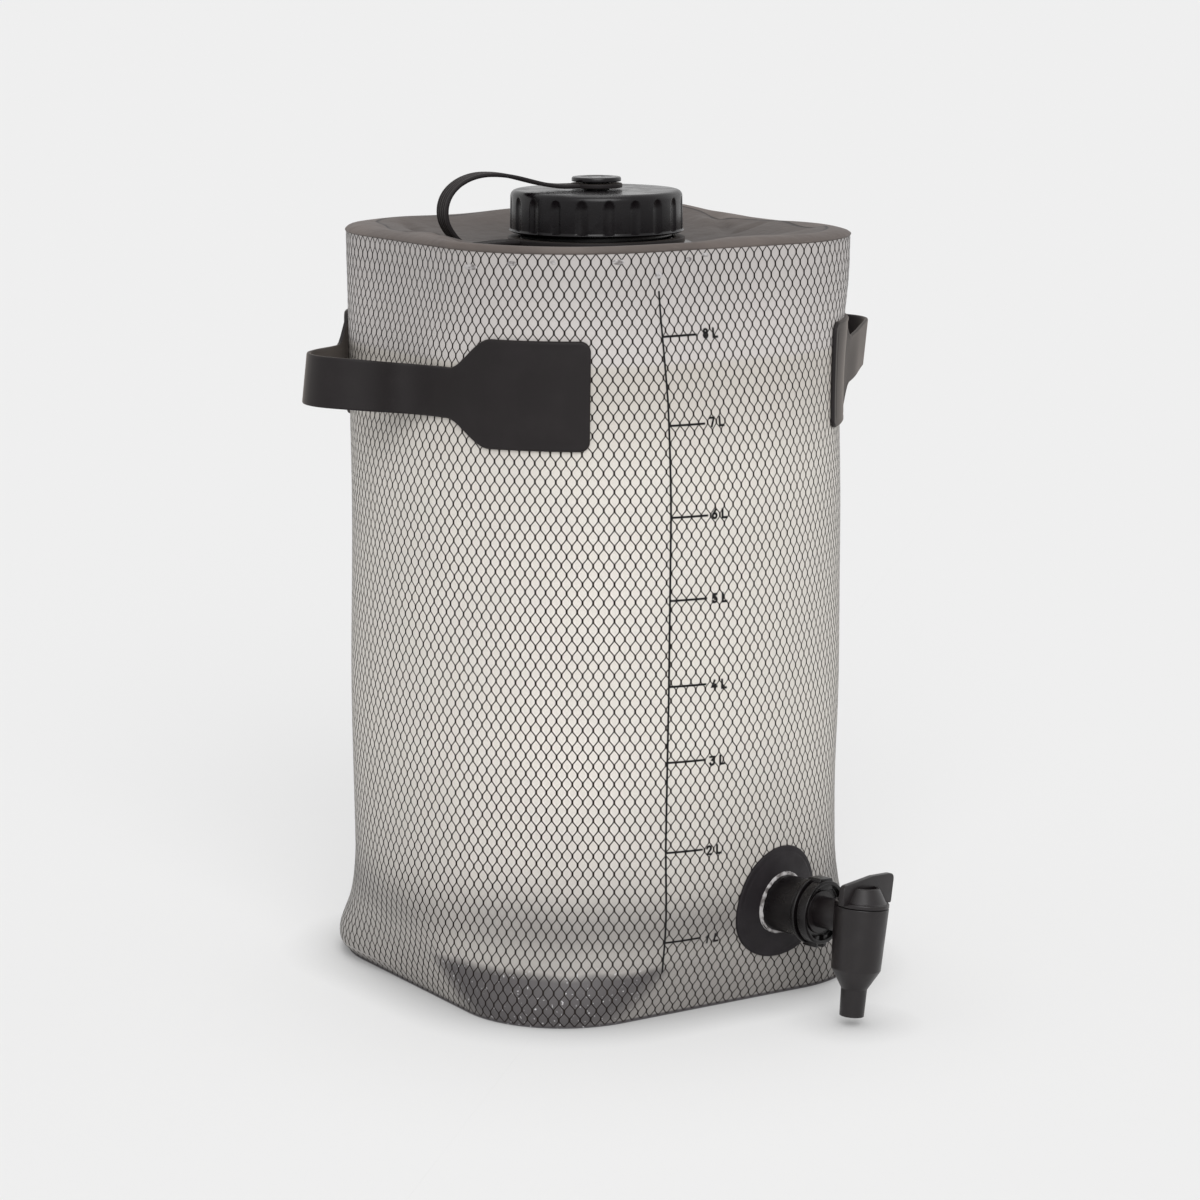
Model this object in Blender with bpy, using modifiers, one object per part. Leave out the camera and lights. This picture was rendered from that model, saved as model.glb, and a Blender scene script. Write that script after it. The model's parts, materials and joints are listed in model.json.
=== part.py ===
"""Soft water container: a film bag with a screw cap, two side handles and a tap.

The bag stands on the floor with the middle of its base at the origin, +Z up.
Its handles are on the two X sides and its tap is on the -Y side.
"""

import bpy
import bmesh
from math import atan2, cos, pi, radians, sin, sqrt
from mathutils import Matrix, Vector

# Gap kept between two solids that touch
SEAT_GAP = 0.0003

# Bag: round in the middle, a rounded square at the foot and at the rim
BAG_RADIUS = 0.0989
BASE_HALF = 0.0872
BASE_CORNER = 0.0437
RIM_HALF = 0.0884
RIM_CORNER = 0.0561
WALL_HEIGHT = 0.2980
FOOT_HEIGHT = 0.050
SHOULDER_HEIGHT = 0.103
FILM_THICKNESS = 0.0008
BASE_THICKNESS = 0.0010
BASE_EDGE = 0.0003

# Top panel: a rolled band over the wall's edge and a dish down to the neck
PANEL_THICKNESS = 0.0010
BAND_HEIGHT = 0.0035
BAND_ROLL = 0.0030
SKIRT_DEPTH = 0.0080
PANEL_DROP = 0.0088
BAND_LAP = 0.0008
DISH_BOW = 1.15

# Neck
NECK_RADIUS = 0.0310
NECK_BORE_RADIUS = 0.0270
NECK_HEIGHT = 0.0175
NECK_SPIGOT = 0.0030
NECK_FLANGE_RADIUS = 0.0385
NECK_FLANGE_THICKNESS = 0.0015
NECK_EDGE = 0.0006

# Cap
CAP_RADIUS = 0.0350
CAP_HEIGHT = 0.0165
CAP_TOP_THICKNESS = 0.0025
CAP_EDGE_RADIUS = 0.0026
CAP_LIP_HEIGHT = 0.0010
CAP_LIP_STEP = 0.0004
CAP_DRAFT = 0.0002
THREAD_CLEARANCE = 0.0007
FLUTE_COUNT = 20
FLUTE_RADIUS = 0.0022
FLUTE_DEPTH = 0.0010
FLUTE_TOP_MARGIN = 0.0034
FLUTE_START_ANGLE = radians(11.8)
SEAL_THICKNESS = 0.0020

# Cap tether: a ring round the neck, an eye under the stud's head and a strap between
TETHER_ANGLE = radians(171.0)
RING_RADIUS = 0.0355
RING_THICKNESS = 0.0022
EYE_RADIUS = 0.0104
EYE_THICKNESS = 0.0022
TAB_LENGTH = 0.0040
STRAP_WIDTH = 0.0100
STRAP_THICKNESS = 0.0019
STRAP_GROOVE = 0.0004
STUD_SHANK_RADIUS = 0.0048
STUD_HEAD_RADIUS = 0.0099
STUD_HEAD_THICKNESS = 0.0024
STUD_RECESS_DEPTH = 0.0020
STUD_DIMPLE_RADIUS = 0.0052
STUD_DIMPLE_DEPTH = 0.0004
STUD_EDGE = 0.0004
TETHER_REACH = 0.0658
TETHER_RISE = 0.0056

# Side handles: two pads on the wall and a strap that stands off between them
HANDLE_HEIGHT = 0.2457
HANDLE_THICKNESS = 0.0019
PAD_HEIGHT = 0.0420
PAD_OUTER_ARC = 0.0965
PAD_INNER_ARC = 0.0575
NECK_ARC = 0.0382
PAD_CORNER = 0.0040
HANDLE_STRAP_WIDTH = 0.0194
LOOP_STANDOFF = 0.0362
LOOP_RADIUS = 0.0200
HINGE_STANDOFF = 0.0027
HINGE_END_RADIUS = 0.0105

# Tap port on the wall; the tap points a little to the side of the wall's normal
TAP_ANGLE = radians(14.6)
TAP_YAW = radians(1.74)
TAP_HEIGHT = 0.0404
TAP_ROLL = radians(-7.0)
PATCH_RADIUS = 0.0228
PATCH_THICKNESS = 0.0008
PORT_FLANGE_RADIUS = 0.0160
PORT_FLANGE_THICKNESS = 0.0007
PORT_RADIUS = 0.0106
PORT_LENGTH = 0.0150
PORT_BORE_RADIUS = 0.0066
PORT_THREAD_RADIUS = 0.0087
PORT_THREAD_LENGTH = 0.0035
PORT_SEAL_THICKNESS = 0.0010
WELD_RING_WIDTH = 0.0015
WELD_RING_THICKNESS = 0.0008

# Tap
COLLAR_RADIUS = 0.0109
COLLAR_WALL = 0.0019
COLLAR_END_THICKNESS = 0.0015
EAR_RADIUS = 0.0128
EAR_WIDTH = 0.0080
EAR_CORNER = 0.0016
TUBE_RADIUS = 0.0062
TUBE_BORE_RADIUS = 0.0035
TUBE_SPIGOT = 0.0080
TUBE_FLANGE_RADIUS = 0.0085
TUBE_FLANGE_THICKNESS = 0.0012
BARREL_REACH = 0.0405
BARREL_TOP_RADIUS = 0.0107
BARREL_LOW_RADIUS = 0.0097
BARREL_TOP = 0.0059
BARREL_BOTTOM = 0.0187
CONE_LENGTH = 0.0078
NOZZLE_RADIUS = 0.0048
NOZZLE_LENGTH = 0.0109
NOZZLE_BORE_RADIUS = 0.0037
VALVE_RADIUS = 0.0072
VALVE_DEPTH = 0.0075
VALVE_PORT_RADIUS = 0.0030
VALVE_STEM_RADIUS = 0.0034
VALVE_STEM_HEIGHT = 0.0040
O_RING_WIDTH = 0.0011
VALVE_CLEARANCE = 0.0004
KNOB_RIM_HEIGHT = 0.0015
HUB_RADIUS = 0.0094
HUB_TOP_RADIUS = 0.0064
HUB_HEIGHT = 0.0073
SCOOP_RADIUS = 0.0054
SCOOP_DEPTH = 0.0026
WING_LENGTH = 0.0268
WING_THICKNESS = 0.0026
WING_LOW_HEIGHT = 0.0085
WING_HIGH_HEIGHT = 0.0118
WING_CORNER = 0.0022
WING_SINK = 0.0010

# Mesh fineness
RING_POINTS = 56
TURN_STEPS = 36
SMALL_TURN_STEPS = 24

# Places that follow from the sizes
TOP_RIDGE = WALL_HEIGHT + SEAT_GAP + BAND_HEIGHT
NECK_SEAT = TOP_RIDGE - PANEL_DROP
NECK_BOTTOM = NECK_SEAT - NECK_SPIGOT
FLANGE_BOTTOM = NECK_SEAT + SEAT_GAP
FLANGE_TOP = FLANGE_BOTTOM + NECK_FLANGE_THICKNESS
NECK_TOP = FLANGE_BOTTOM + NECK_HEIGHT
SEAL_BOTTOM = NECK_TOP + SEAT_GAP
CAP_CEILING = SEAL_BOTTOM + SEAL_THICKNESS + SEAT_GAP
CAP_TOP = CAP_CEILING + CAP_TOP_THICKNESS
CAP_BOTTOM = CAP_TOP - CAP_HEIGHT
CAP_BORE_RADIUS = NECK_RADIUS + THREAD_CLEARANCE
RING_BOTTOM = FLANGE_TOP + SEAT_GAP
EYE_BOTTOM = CAP_TOP + SEAT_GAP
STUD_HEAD_BOTTOM = EYE_BOTTOM + EYE_THICKNESS + SEAT_GAP

COLORS = {
    "film": ((0.62, 0.60, 0.56, 1.0), 0.45),
    "panel": ((0.105, 0.095, 0.090, 1.0), 0.60),
    "strap": ((0.035, 0.033, 0.034, 1.0), 0.65),
    "cap": ((0.020, 0.020, 0.022, 1.0), 0.38),
    "seal": ((0.60, 0.60, 0.58, 1.0), 0.60),
    "tap": ((0.045, 0.043, 0.044, 1.0), 0.50),
    "weld": ((0.70, 0.70, 0.68, 1.0), 0.35),
}


def clear_scene():
    """Removes the objects that a new file opens with."""
    for item in list(bpy.data.objects):
        bpy.data.objects.remove(item, do_unlink=True)


def make_collection(name):
    """Makes a collection in the scene."""
    collection = bpy.data.collections.new(name)
    bpy.context.scene.collection.children.link(collection)
    return collection


clear_scene()
PARTS = make_collection("water_container")
CUTTERS = make_collection("cutters")


def make_material(slot, name):
    """Makes one part's own material from the colour and roughness of its slot."""
    color, roughness = COLORS[slot]
    material = bpy.data.materials.new(name + "_" + slot)
    material.use_nodes = True
    shader = material.node_tree.nodes["Principled BSDF"]
    shader.inputs["Base Color"].default_value = color
    shader.inputs["Roughness"].default_value = roughness
    shader.inputs["Metallic"].default_value = 0.0
    return material


def finish_mesh(bm, name, collection):
    """Turns a bmesh into an object with its faces pointing out."""
    bmesh.ops.recalc_face_normals(bm, faces=bm.faces)
    mesh = bpy.data.meshes.new(name)
    bm.to_mesh(mesh)
    bm.free()
    mesh.shade_smooth()
    mesh.set_sharp_from_angle(angle=radians(35.0))
    item = bpy.data.objects.new(name, mesh)
    collection.objects.link(item)
    return item


def make_part(bm, name, slot, origin=(0.0, 0.0, 0.0), parent=None):
    """Makes a named part from a bmesh, with its origin at a point of its frame."""
    bmesh.ops.translate(bm, verts=bm.verts, vec=-Vector(origin))
    item = finish_mesh(bm, name, PARTS)
    item.location = origin
    item.parent = parent
    item.data.materials.append(make_material(slot, name))
    return item


def cut(item, cutter, operation="DIFFERENCE"):
    """Cuts a part with a cutter, which stays out of the model."""
    modifier = item.modifiers.new(cutter.name, "BOOLEAN")
    modifier.operation = operation
    modifier.solver = "EXACT"
    modifier.object = cutter
    cutter.hide_render = True
    cutter.display_type = "WIRE"


def make_cutter(bm, name, parent=None):
    """Makes a cutter from a bmesh."""
    item = finish_mesh(bm, name, CUTTERS)
    item.parent = parent
    return item


def smooth_step(value):
    """Eases a share from 0 to 1, level at both ends."""
    share = min(max(value, 0.0), 1.0)
    return share * share * (3.0 - 2.0 * share)


def mix(low, high, share):
    """Goes from one number or vector to another."""
    return low + (high - low) * share


def loft(bm, rings, closed=False):
    """Joins rings of as many points each, and closes the ends or joins them up."""
    rows = [[bm.verts.new(point) for point in ring] for ring in rings]
    pairs = list(zip(rows, rows[1:]))
    if closed:
        pairs.append((rows[-1], rows[0]))
    for low, high in pairs:
        for index in range(len(low)):
            after = (index + 1) % len(low)
            bm.faces.new((low[index], low[after], high[after], high[index]))
    if not closed:
        bm.faces.new(rows[0])
        bm.faces.new(rows[-1])


def bag_section(height):
    """Half width and corner radius of the wall's outer section at a height."""
    if height < FOOT_HEIGHT:
        share = smooth_step(1.0 - height / FOOT_HEIGHT)
        return mix(BAG_RADIUS, BASE_HALF, share), mix(BAG_RADIUS, BASE_CORNER, share)
    share = smooth_step((height - WALL_HEIGHT + SHOULDER_HEIGHT) / SHOULDER_HEIGHT)
    return mix(BAG_RADIUS, RIM_HALF, share), mix(BAG_RADIUS, RIM_CORNER, share)


def walk_outline(half, corner, arc):
    """Point and outward normal at an arc length from the middle of the -Y side, towards +X."""
    flat = half - corner
    quarter = 2.0 * flat + corner * pi / 2.0
    turns, rest = divmod(arc + quarter / 2.0, quarter)
    rest -= quarter / 2.0
    bend = (abs(rest) - flat) / corner if abs(rest) > flat else 0.0
    side = 1.0 if rest >= 0.0 else -1.0
    across = side * (flat + corner * sin(bend)) if bend else rest
    out = flat + corner * cos(bend)
    turn = Matrix.Rotation(turns * pi / 2.0, 2)
    point = turn @ Vector((across, -out))
    normal = turn @ Vector((side * sin(bend), -cos(bend)))
    return point, normal


def outline_length(half, corner):
    """Length round a rounded square."""
    return 8.0 * (half - corner) + 2.0 * pi * corner


def wall_point(arc, height, offset):
    """Point that stands off the wall's outer face, by arc length and height."""
    half, corner = bag_section(height)
    point, normal = walk_outline(half, corner, arc)
    place = point + normal * offset
    return Vector((place.x, place.y, height))


def outline_ring(half, corner, height, inset=0.0):
    """Ring of points round a rounded square, set in from its edge."""
    length = outline_length(half, corner)
    ring = []
    for index in range(RING_POINTS):
        point, normal = walk_outline(half, corner, length * index / RING_POINTS)
        place = point - normal * inset
        ring.append(Vector((place.x, place.y, height)))
    return ring


def circle_ring(radius, height):
    """Ring of points round a circle, in step with the outline rings."""
    return outline_ring(radius, radius * 0.9999, height)


def turned(profile, steps, origin=(0.0, 0.0, 0.0)):
    """Closed solid turned round +Z from a profile of (radius, height), top to bottom outside."""
    mesh = bpy.data.meshes.new("profile")
    points = [(radius, 0.0, height) for radius, height in profile]
    loop = profile[0][0] > 0.0 or profile[-1][0] > 0.0
    edges = [(index, index + 1) for index in range(len(points) - 1)]
    if loop:
        edges.append((len(points) - 1, 0))
    mesh.from_pydata(points, edges, [])
    item = bpy.data.objects.new("profile", mesh)
    bpy.context.scene.collection.objects.link(item)
    screw = item.modifiers.new("turn", "SCREW")
    screw.axis = "Z"
    screw.steps = steps
    screw.render_steps = steps
    screw.use_merge_vertices = True
    screw.merge_threshold = 0.00001
    depsgraph = bpy.context.evaluated_depsgraph_get()
    result = bpy.data.meshes.new_from_object(item.evaluated_get(depsgraph))
    bm = bmesh.new()
    bm.from_mesh(result)
    bmesh.ops.remove_doubles(bm, verts=bm.verts, dist=0.00001)
    bmesh.ops.translate(bm, verts=bm.verts, vec=origin)
    bpy.data.objects.remove(item, do_unlink=True)
    return bm


def fillet(center_radius, center_height, radius, start, end, steps=4):
    """Points of a round edge in a profile, by the angles of its ends in degrees."""
    points = []
    for index in range(steps + 1):
        angle = radians(mix(start, end, index / steps))
        points.append((center_radius + radius * cos(angle), center_height + radius * sin(angle)))
    return points


def cylinder(radius, low, high, segments=SMALL_TURN_STEPS):
    """Cylinder along +Z between two heights."""
    bm = bmesh.new()
    middle = Matrix.Translation((0.0, 0.0, (low + high) / 2.0))
    bmesh.ops.create_cone(
        bm, cap_ends=True, segments=segments, radius1=radius, radius2=radius,
        depth=high - low, matrix=middle)
    return bm


def extruded(outline, direction):
    """Closed solid from a flat outline of points, pushed along a direction."""
    bm = bmesh.new()
    push = Vector(direction)
    loft(bm, [[Vector(point) for point in outline], [Vector(point) + push for point in outline]])
    return bm


def wall_levels():
    """Heights of the wall's rings: close together where its section changes."""
    foot = [FOOT_HEIGHT * index / 3.0 for index in range(4)]
    start = WALL_HEIGHT - SHOULDER_HEIGHT
    shoulder = [start + SHOULDER_HEIGHT * index / 5.0 for index in range(6)]
    return foot + shoulder


def build_side_wall():
    """Film tube, open at the top and the base."""
    bm = bmesh.new()
    outer = [outline_ring(*bag_section(height), height) for height in wall_levels()]
    inner = [
        outline_ring(*bag_section(height), height, FILM_THICKNESS)
        for height in reversed(wall_levels())]
    loft(bm, outer + inner, closed=True)
    return make_part(bm, "side_wall", "film")


def build_base_panel():
    """Flat base inside the foot of the wall, which the bag stands on."""
    bm = bmesh.new()
    inset = FILM_THICKNESS + SEAT_GAP
    levels = ((0.0, inset + BASE_EDGE), (BASE_EDGE, inset), (BASE_THICKNESS, inset))
    loft(bm, [outline_ring(*bag_section(height), height, margin) for height, margin in levels])
    return make_part(bm, "base_panel", "panel")


def dish_ring(share, lower):
    """Ring of the top panel's dish, from the neck seat at 0 to the rolled band at 1."""
    seat = circle_ring(NECK_FLANGE_RADIUS + PANEL_THICKNESS, 0.0)
    inset = 2.0 * BAND_ROLL
    edge = outline_ring(RIM_HALF, RIM_CORNER, 0.0, inset)
    height = NECK_SEAT + (PANEL_DROP - BAND_LAP) * share ** DISH_BOW - lower
    return [mix(low, high, share) + Vector((0.0, 0.0, height)) for low, high in zip(seat, edge)]


def build_top_panel():
    """Fabric panel: its edge rolls over the wall and is welded down inside it."""
    start = WALL_HEIGHT + SEAT_GAP
    skirt = FILM_THICKNESS + SEAT_GAP
    band = ((0.0, 0.0), (-0.1, 0.45), (0.2, 0.8), (1.0, 1.0))
    rings = [
        outline_ring(RIM_HALF, RIM_CORNER, start + BAND_HEIGHT * rise, BAND_ROLL * inset)
        for inset, rise in band]
    shares = (1.0, 0.5, 0.0)
    hole = NECK_RADIUS + SEAT_GAP
    rings += [dish_ring(share, 0.0) for share in shares]
    rings.append(circle_ring(hole, NECK_SEAT))
    rings.append(circle_ring(hole, NECK_SEAT - PANEL_THICKNESS))
    rings += [dish_ring(share, PANEL_THICKNESS) for share in reversed(shares)]
    inner = skirt + PANEL_THICKNESS
    rings.append(outline_ring(RIM_HALF, RIM_CORNER, start, inner))
    low = WALL_HEIGHT - SKIRT_DEPTH
    rings.append(outline_ring(*bag_section(low), low, inner))
    rings.append(outline_ring(*bag_section(low), low, skirt))
    rings.append(outline_ring(RIM_HALF, RIM_CORNER, start, skirt))
    bm = bmesh.new()
    loft(bm, rings, closed=True)
    return make_part(bm, "top_panel", "panel")


def build_neck():
    """Threaded neck with the flange that is welded to the top panel."""
    profile = [
        (NECK_BORE_RADIUS + NECK_EDGE, NECK_TOP),
        (NECK_RADIUS - NECK_EDGE, NECK_TOP),
        (NECK_RADIUS, NECK_TOP - NECK_EDGE),
        (NECK_RADIUS, FLANGE_TOP),
        (NECK_FLANGE_RADIUS - NECK_EDGE, FLANGE_TOP),
        (NECK_FLANGE_RADIUS, FLANGE_TOP - NECK_EDGE),
        (NECK_FLANGE_RADIUS, FLANGE_BOTTOM),
        (NECK_RADIUS, FLANGE_BOTTOM),
        (NECK_RADIUS, NECK_BOTTOM),
        (NECK_BORE_RADIUS, NECK_BOTTOM),
        (NECK_BORE_RADIUS, NECK_TOP - NECK_EDGE)]
    return make_part(turned(profile, TURN_STEPS), "neck", "cap")


def flute_cutter(axis):
    """Round-ended rods that cut the grip flutes in the cap's side."""
    bm = bmesh.new()
    low = CAP_BOTTOM + CAP_LIP_HEIGHT + CAP_LIP_STEP
    high = CAP_TOP - FLUTE_TOP_MARGIN
    center = CAP_RADIUS - CAP_LIP_STEP - CAP_DRAFT + FLUTE_RADIUS - FLUTE_DEPTH
    profile = [(0.0, high + FLUTE_RADIUS)]
    profile += fillet(0.0, high, FLUTE_RADIUS, 60.0, 0.0, 2)
    profile += [(FLUTE_RADIUS, low), (0.0, low)]
    for index in range(FLUTE_COUNT):
        angle = FLUTE_START_ANGLE + 2.0 * pi * index / FLUTE_COUNT
        rod = turned(profile, 12, (center * cos(angle), center * sin(angle), 0.0))
        mesh = bpy.data.meshes.new("rod")
        rod.to_mesh(mesh)
        rod.free()
        bm.from_mesh(mesh)
        bpy.data.meshes.remove(mesh)
    return make_cutter(bm, "flutes", axis)


def build_cap(axis):
    """Screw cap with grip flutes, a lip at its lower edge and a recess for the stud."""
    side = CAP_RADIUS - CAP_LIP_STEP
    top_side = side - CAP_DRAFT
    recess = STUD_SHANK_RADIUS + SEAT_GAP
    profile = [
        (0.0, CAP_TOP - STUD_RECESS_DEPTH),
        (recess, CAP_TOP - STUD_RECESS_DEPTH),
        (recess, CAP_TOP)]
    profile += fillet(
        top_side - CAP_EDGE_RADIUS, CAP_TOP - CAP_EDGE_RADIUS, CAP_EDGE_RADIUS, 90.0, 0.0)
    profile += [
        (side, CAP_BOTTOM + CAP_LIP_HEIGHT + CAP_LIP_STEP),
        (CAP_RADIUS, CAP_BOTTOM + CAP_LIP_HEIGHT),
        (CAP_RADIUS, CAP_BOTTOM),
        (CAP_BORE_RADIUS, CAP_BOTTOM),
        (CAP_BORE_RADIUS, CAP_CEILING),
        (0.0, CAP_CEILING)]
    cap = make_part(turned(profile, TURN_STEPS), "cap_shell", "cap", parent=axis)
    cut(cap, flute_cutter(axis))
    return cap


def build_cap_seal(axis):
    """Flat seal between the cap's ceiling and the neck's rim."""
    radius = NECK_RADIUS - SEAT_GAP
    bm = cylinder(radius, SEAL_BOTTOM, SEAL_BOTTOM + SEAL_THICKNESS, TURN_STEPS)
    return make_part(bm, "cap_seal", "seal", parent=axis)


def build_stud(axis):
    """Push-in stud that holds the tether's eye to the cap."""
    head_top = STUD_HEAD_BOTTOM + STUD_HEAD_THICKNESS
    profile = [
        (0.0, head_top - STUD_DIMPLE_DEPTH),
        (STUD_DIMPLE_RADIUS, head_top - STUD_DIMPLE_DEPTH),
        (STUD_DIMPLE_RADIUS + STUD_EDGE, head_top),
        (STUD_HEAD_RADIUS - 3.0 * STUD_EDGE, head_top - STUD_EDGE / 2.0),
        (STUD_HEAD_RADIUS - STUD_EDGE, head_top - 2.0 * STUD_EDGE),
        (STUD_HEAD_RADIUS, head_top - 3.0 * STUD_EDGE),
        (STUD_HEAD_RADIUS, STUD_HEAD_BOTTOM),
        (STUD_SHANK_RADIUS, STUD_HEAD_BOTTOM),
        (STUD_SHANK_RADIUS, CAP_TOP - STUD_RECESS_DEPTH + SEAT_GAP),
        (0.0, CAP_TOP - STUD_RECESS_DEPTH + SEAT_GAP)]
    return make_part(turned(profile, SMALL_TURN_STEPS), "cap_stud", "cap", parent=axis)


def washer_with_tab(outer, bore, bottom, thickness, tab_end):
    """Flat ring with a tab on one side, before it is turned to the tether's side."""
    bm = bmesh.new()
    start = atan2(STRAP_WIDTH / 2.0, sqrt(outer ** 2 - (STRAP_WIDTH / 2.0) ** 2))
    steps = SMALL_TURN_STEPS
    rim = []
    for index in range(steps + 1):
        angle = mix(start, 2.0 * pi - start, index / steps)
        rim.append(Vector((outer * cos(angle), outer * sin(angle), bottom)))
    tab = [Vector((tab_end, -STRAP_WIDTH / 2.0, bottom)), Vector((tab_end, STRAP_WIDTH / 2.0, bottom))]
    loft(bm, [rim + tab, [point + Vector((0.0, 0.0, thickness)) for point in rim + tab]])
    bmesh.ops.rotate(
        bm, verts=bm.verts, cent=(0.0, 0.0, 0.0), matrix=Matrix.Rotation(TETHER_ANGLE, 3, "Z"))
    hole = cylinder(bore, bottom - thickness, bottom + 2.0 * thickness, steps)
    return bm, hole


def build_tether_ring():
    """Ring of the tether, which lies on the neck's flange."""
    bm, hole = washer_with_tab(
        RING_RADIUS, NECK_RADIUS + SEAT_GAP, RING_BOTTOM, RING_THICKNESS, RING_RADIUS + TAB_LENGTH)
    ring = make_part(bm, "tether_ring", "strap")
    cut(ring, make_cutter(hole, "ring_hole"))
    return ring


def build_tether_eye():
    """Eye of the tether, which turns freely under the stud's head."""
    bm, hole = washer_with_tab(
        EYE_RADIUS, STUD_SHANK_RADIUS + SEAT_GAP, EYE_BOTTOM, EYE_THICKNESS, EYE_RADIUS + TAB_LENGTH)
    eye = make_part(bm, "tether_eye", "strap")
    cut(eye, make_cutter(hole, "eye_hole"))
    return eye


def tether_path():
    """Middle line of the tether's strap as (reach, height), from the eye to the ring."""
    start = Vector((EYE_RADIUS + TAB_LENGTH + SEAT_GAP, EYE_BOTTOM + EYE_THICKNESS / 2.0))
    end = Vector((RING_RADIUS + TAB_LENGTH + SEAT_GAP, RING_BOTTOM + RING_THICKNESS / 2.0))
    top = Vector((mix(start.x, TETHER_REACH, 0.64), start.y + TETHER_RISE))
    side = Vector((TETHER_REACH, mix(end.y, top.y, 0.47)))
    return [(start, Vector((1.0, 0.05))), (top, Vector((1.0, 0.0))),
            (side, Vector((0.0, -1.0))), (end, Vector((-1.0, 0.0)))]


def curve_through(knots, steps, stretch=0.55):
    """Points and tangents of a smooth curve through knots of (place, direction)."""
    samples = []
    for (start, out), (end, into) in zip(knots, knots[1:]):
        reach = (end - start).length * stretch / 1.4
        first = start + out.normalized() * reach
        second = end - into.normalized() * reach
        count = steps if end is knots[-1][0] else steps - 1
        for index in range(count + 1):
            t = index / steps
            u = 1.0 - t
            place = start * u ** 3 + first * 3 * u * u * t + second * 3 * u * t * t + end * t ** 3
            slope = (first - start) * u * u + (second - first) * 2 * u * t + (end - second) * t * t
            samples.append((place, slope.normalized()))
    return samples


def build_tether_strap():
    """Grooved strap that arches from the eye over to the ring."""
    half = STRAP_WIDTH / 2.0
    thick = STRAP_THICKNESS / 2.0
    groove = thick - STRAP_GROOVE
    section = [
        (-half, -thick), (half, -thick), (half, thick), (half * 0.45, thick),
        (half * 0.35, groove), (half * 0.25, thick), (-half * 0.25, thick),
        (-half * 0.35, groove), (-half * 0.45, thick), (-half, thick)]
    along = Vector((cos(TETHER_ANGLE), sin(TETHER_ANGLE), 0.0))
    across = Vector((-sin(TETHER_ANGLE), cos(TETHER_ANGLE), 0.0))
    rings = []
    for place, slope in curve_through(tether_path(), 6):
        normal = along * -slope.y + Vector((0.0, 0.0, slope.x))
        center = along * place.x + Vector((0.0, 0.0, place.y))
        rings.append([center + across * wide + normal * high for wide, high in section])
    bm = bmesh.new()
    loft(bm, rings)
    return make_part(bm, "tether_strap", "strap")


def pad_half_height(arc):
    """Half the handle's height where it lies on the wall, by arc length from its middle."""
    full = PAD_HEIGHT / 2.0
    strap = HANDLE_STRAP_WIDTH / 2.0
    if arc > PAD_OUTER_ARC - PAD_CORNER:
        into = arc - PAD_OUTER_ARC + PAD_CORNER
        return full - PAD_CORNER + sqrt(max(PAD_CORNER ** 2 - into ** 2, 0.0))
    return mix(strap, full, smooth_step((arc - NECK_ARC) / (PAD_INNER_ARC - NECK_ARC)))


def pad_stations():
    """Arc lengths of the pad's cross-sections, from its outer end to the strap."""
    end = PAD_OUTER_ARC
    corner = [end - PAD_CORNER * (1.0 - cos(pi / 2.0 * index / 4.0)) for index in range(1, 5)]
    flat = [mix(end - PAD_CORNER, PAD_INNER_ARC, index / 3.0) for index in range(1, 4)]
    flare = [mix(PAD_INNER_ARC, NECK_ARC, index / 6.0) for index in range(1, 7)]
    return [end] + corner + flat + flare


def quarter_arc():
    """Arc length along the wall from the middle of the -Y side to the middle of the +X side."""
    return outline_length(*bag_section(HANDLE_HEIGHT)) / 4.0


def wall_strip(arc, half_height, offset):
    """Column of points up the wall on the +X side, at an arc length towards -Y."""
    column = []
    for level in (-1.0, -0.5, 0.0, 0.5, 1.0):
        height = HANDLE_HEIGHT + level * half_height
        quarter = outline_length(*bag_section(height)) / 4.0
        column.append(wall_point(quarter - arc, height, offset))
    return column


def loop_path():
    """Middle line of the free strap in plan, from the wall to the far end of its loop."""
    offset = SEAT_GAP + HANDLE_THICKNESS / 2.0
    half, corner = bag_section(HANDLE_HEIGHT)
    start, normal = walk_outline(half, corner, quarter_arc() - NECK_ARC)
    start = start + normal * offset
    leave = Vector((-normal.y, normal.x))
    center = half + LOOP_STANDOFF - LOOP_RADIUS - HANDLE_THICKNESS / 2.0
    side = Vector((center, -LOOP_RADIUS))
    samples = curve_through([(start, leave), (side, Vector((1.0, 0.0)))], 9, 0.62)
    for index in range(1, 7):
        angle = radians(-90.0 + 15.0 * index)
        place = Vector((center + LOOP_RADIUS * cos(angle), LOOP_RADIUS * sin(angle)))
        samples.append((place, Vector((-sin(angle), cos(angle)))))
    return samples


def strap_ring(inner, outer):
    """Closed section of the handle from its inner and outer columns of points."""
    return inner + list(reversed(outer))


def free_rings(samples, lean):
    """Sections of the free strap, which straighten up as they leave the wall."""
    rings = []
    half = HANDLE_STRAP_WIDTH / 2.0
    for index, (place, slope) in enumerate(samples):
        normal = Vector((slope.y, -slope.x))
        fade = 1.0 - smooth_step(index / 6.0)
        columns = []
        for side in (-1.0, 1.0):
            edge = place + normal * (side * HANDLE_THICKNESS / 2.0)
            column = []
            for step, level in enumerate((-1.0, -0.5, 0.0, 0.5, 1.0)):
                bend = lean[step] * fade
                column.append(Vector((edge.x + bend.x, edge.y + bend.y, HANDLE_HEIGHT + level * half)))
            columns.append(column)
        rings.append(strap_ring(*columns))
    return rings


def wall_lean():
    """How far each level of the strap leans with the wall where it leaves it."""
    column = wall_strip(NECK_ARC, HANDLE_STRAP_WIDTH / 2.0, SEAT_GAP)
    return [(point - column[2]).to_2d() for point in column]


def hinge_reach():
    """How far the handle's hinge line lies from the bag's axis."""
    return bag_section(HANDLE_HEIGHT)[0] + HINGE_STANDOFF


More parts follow.
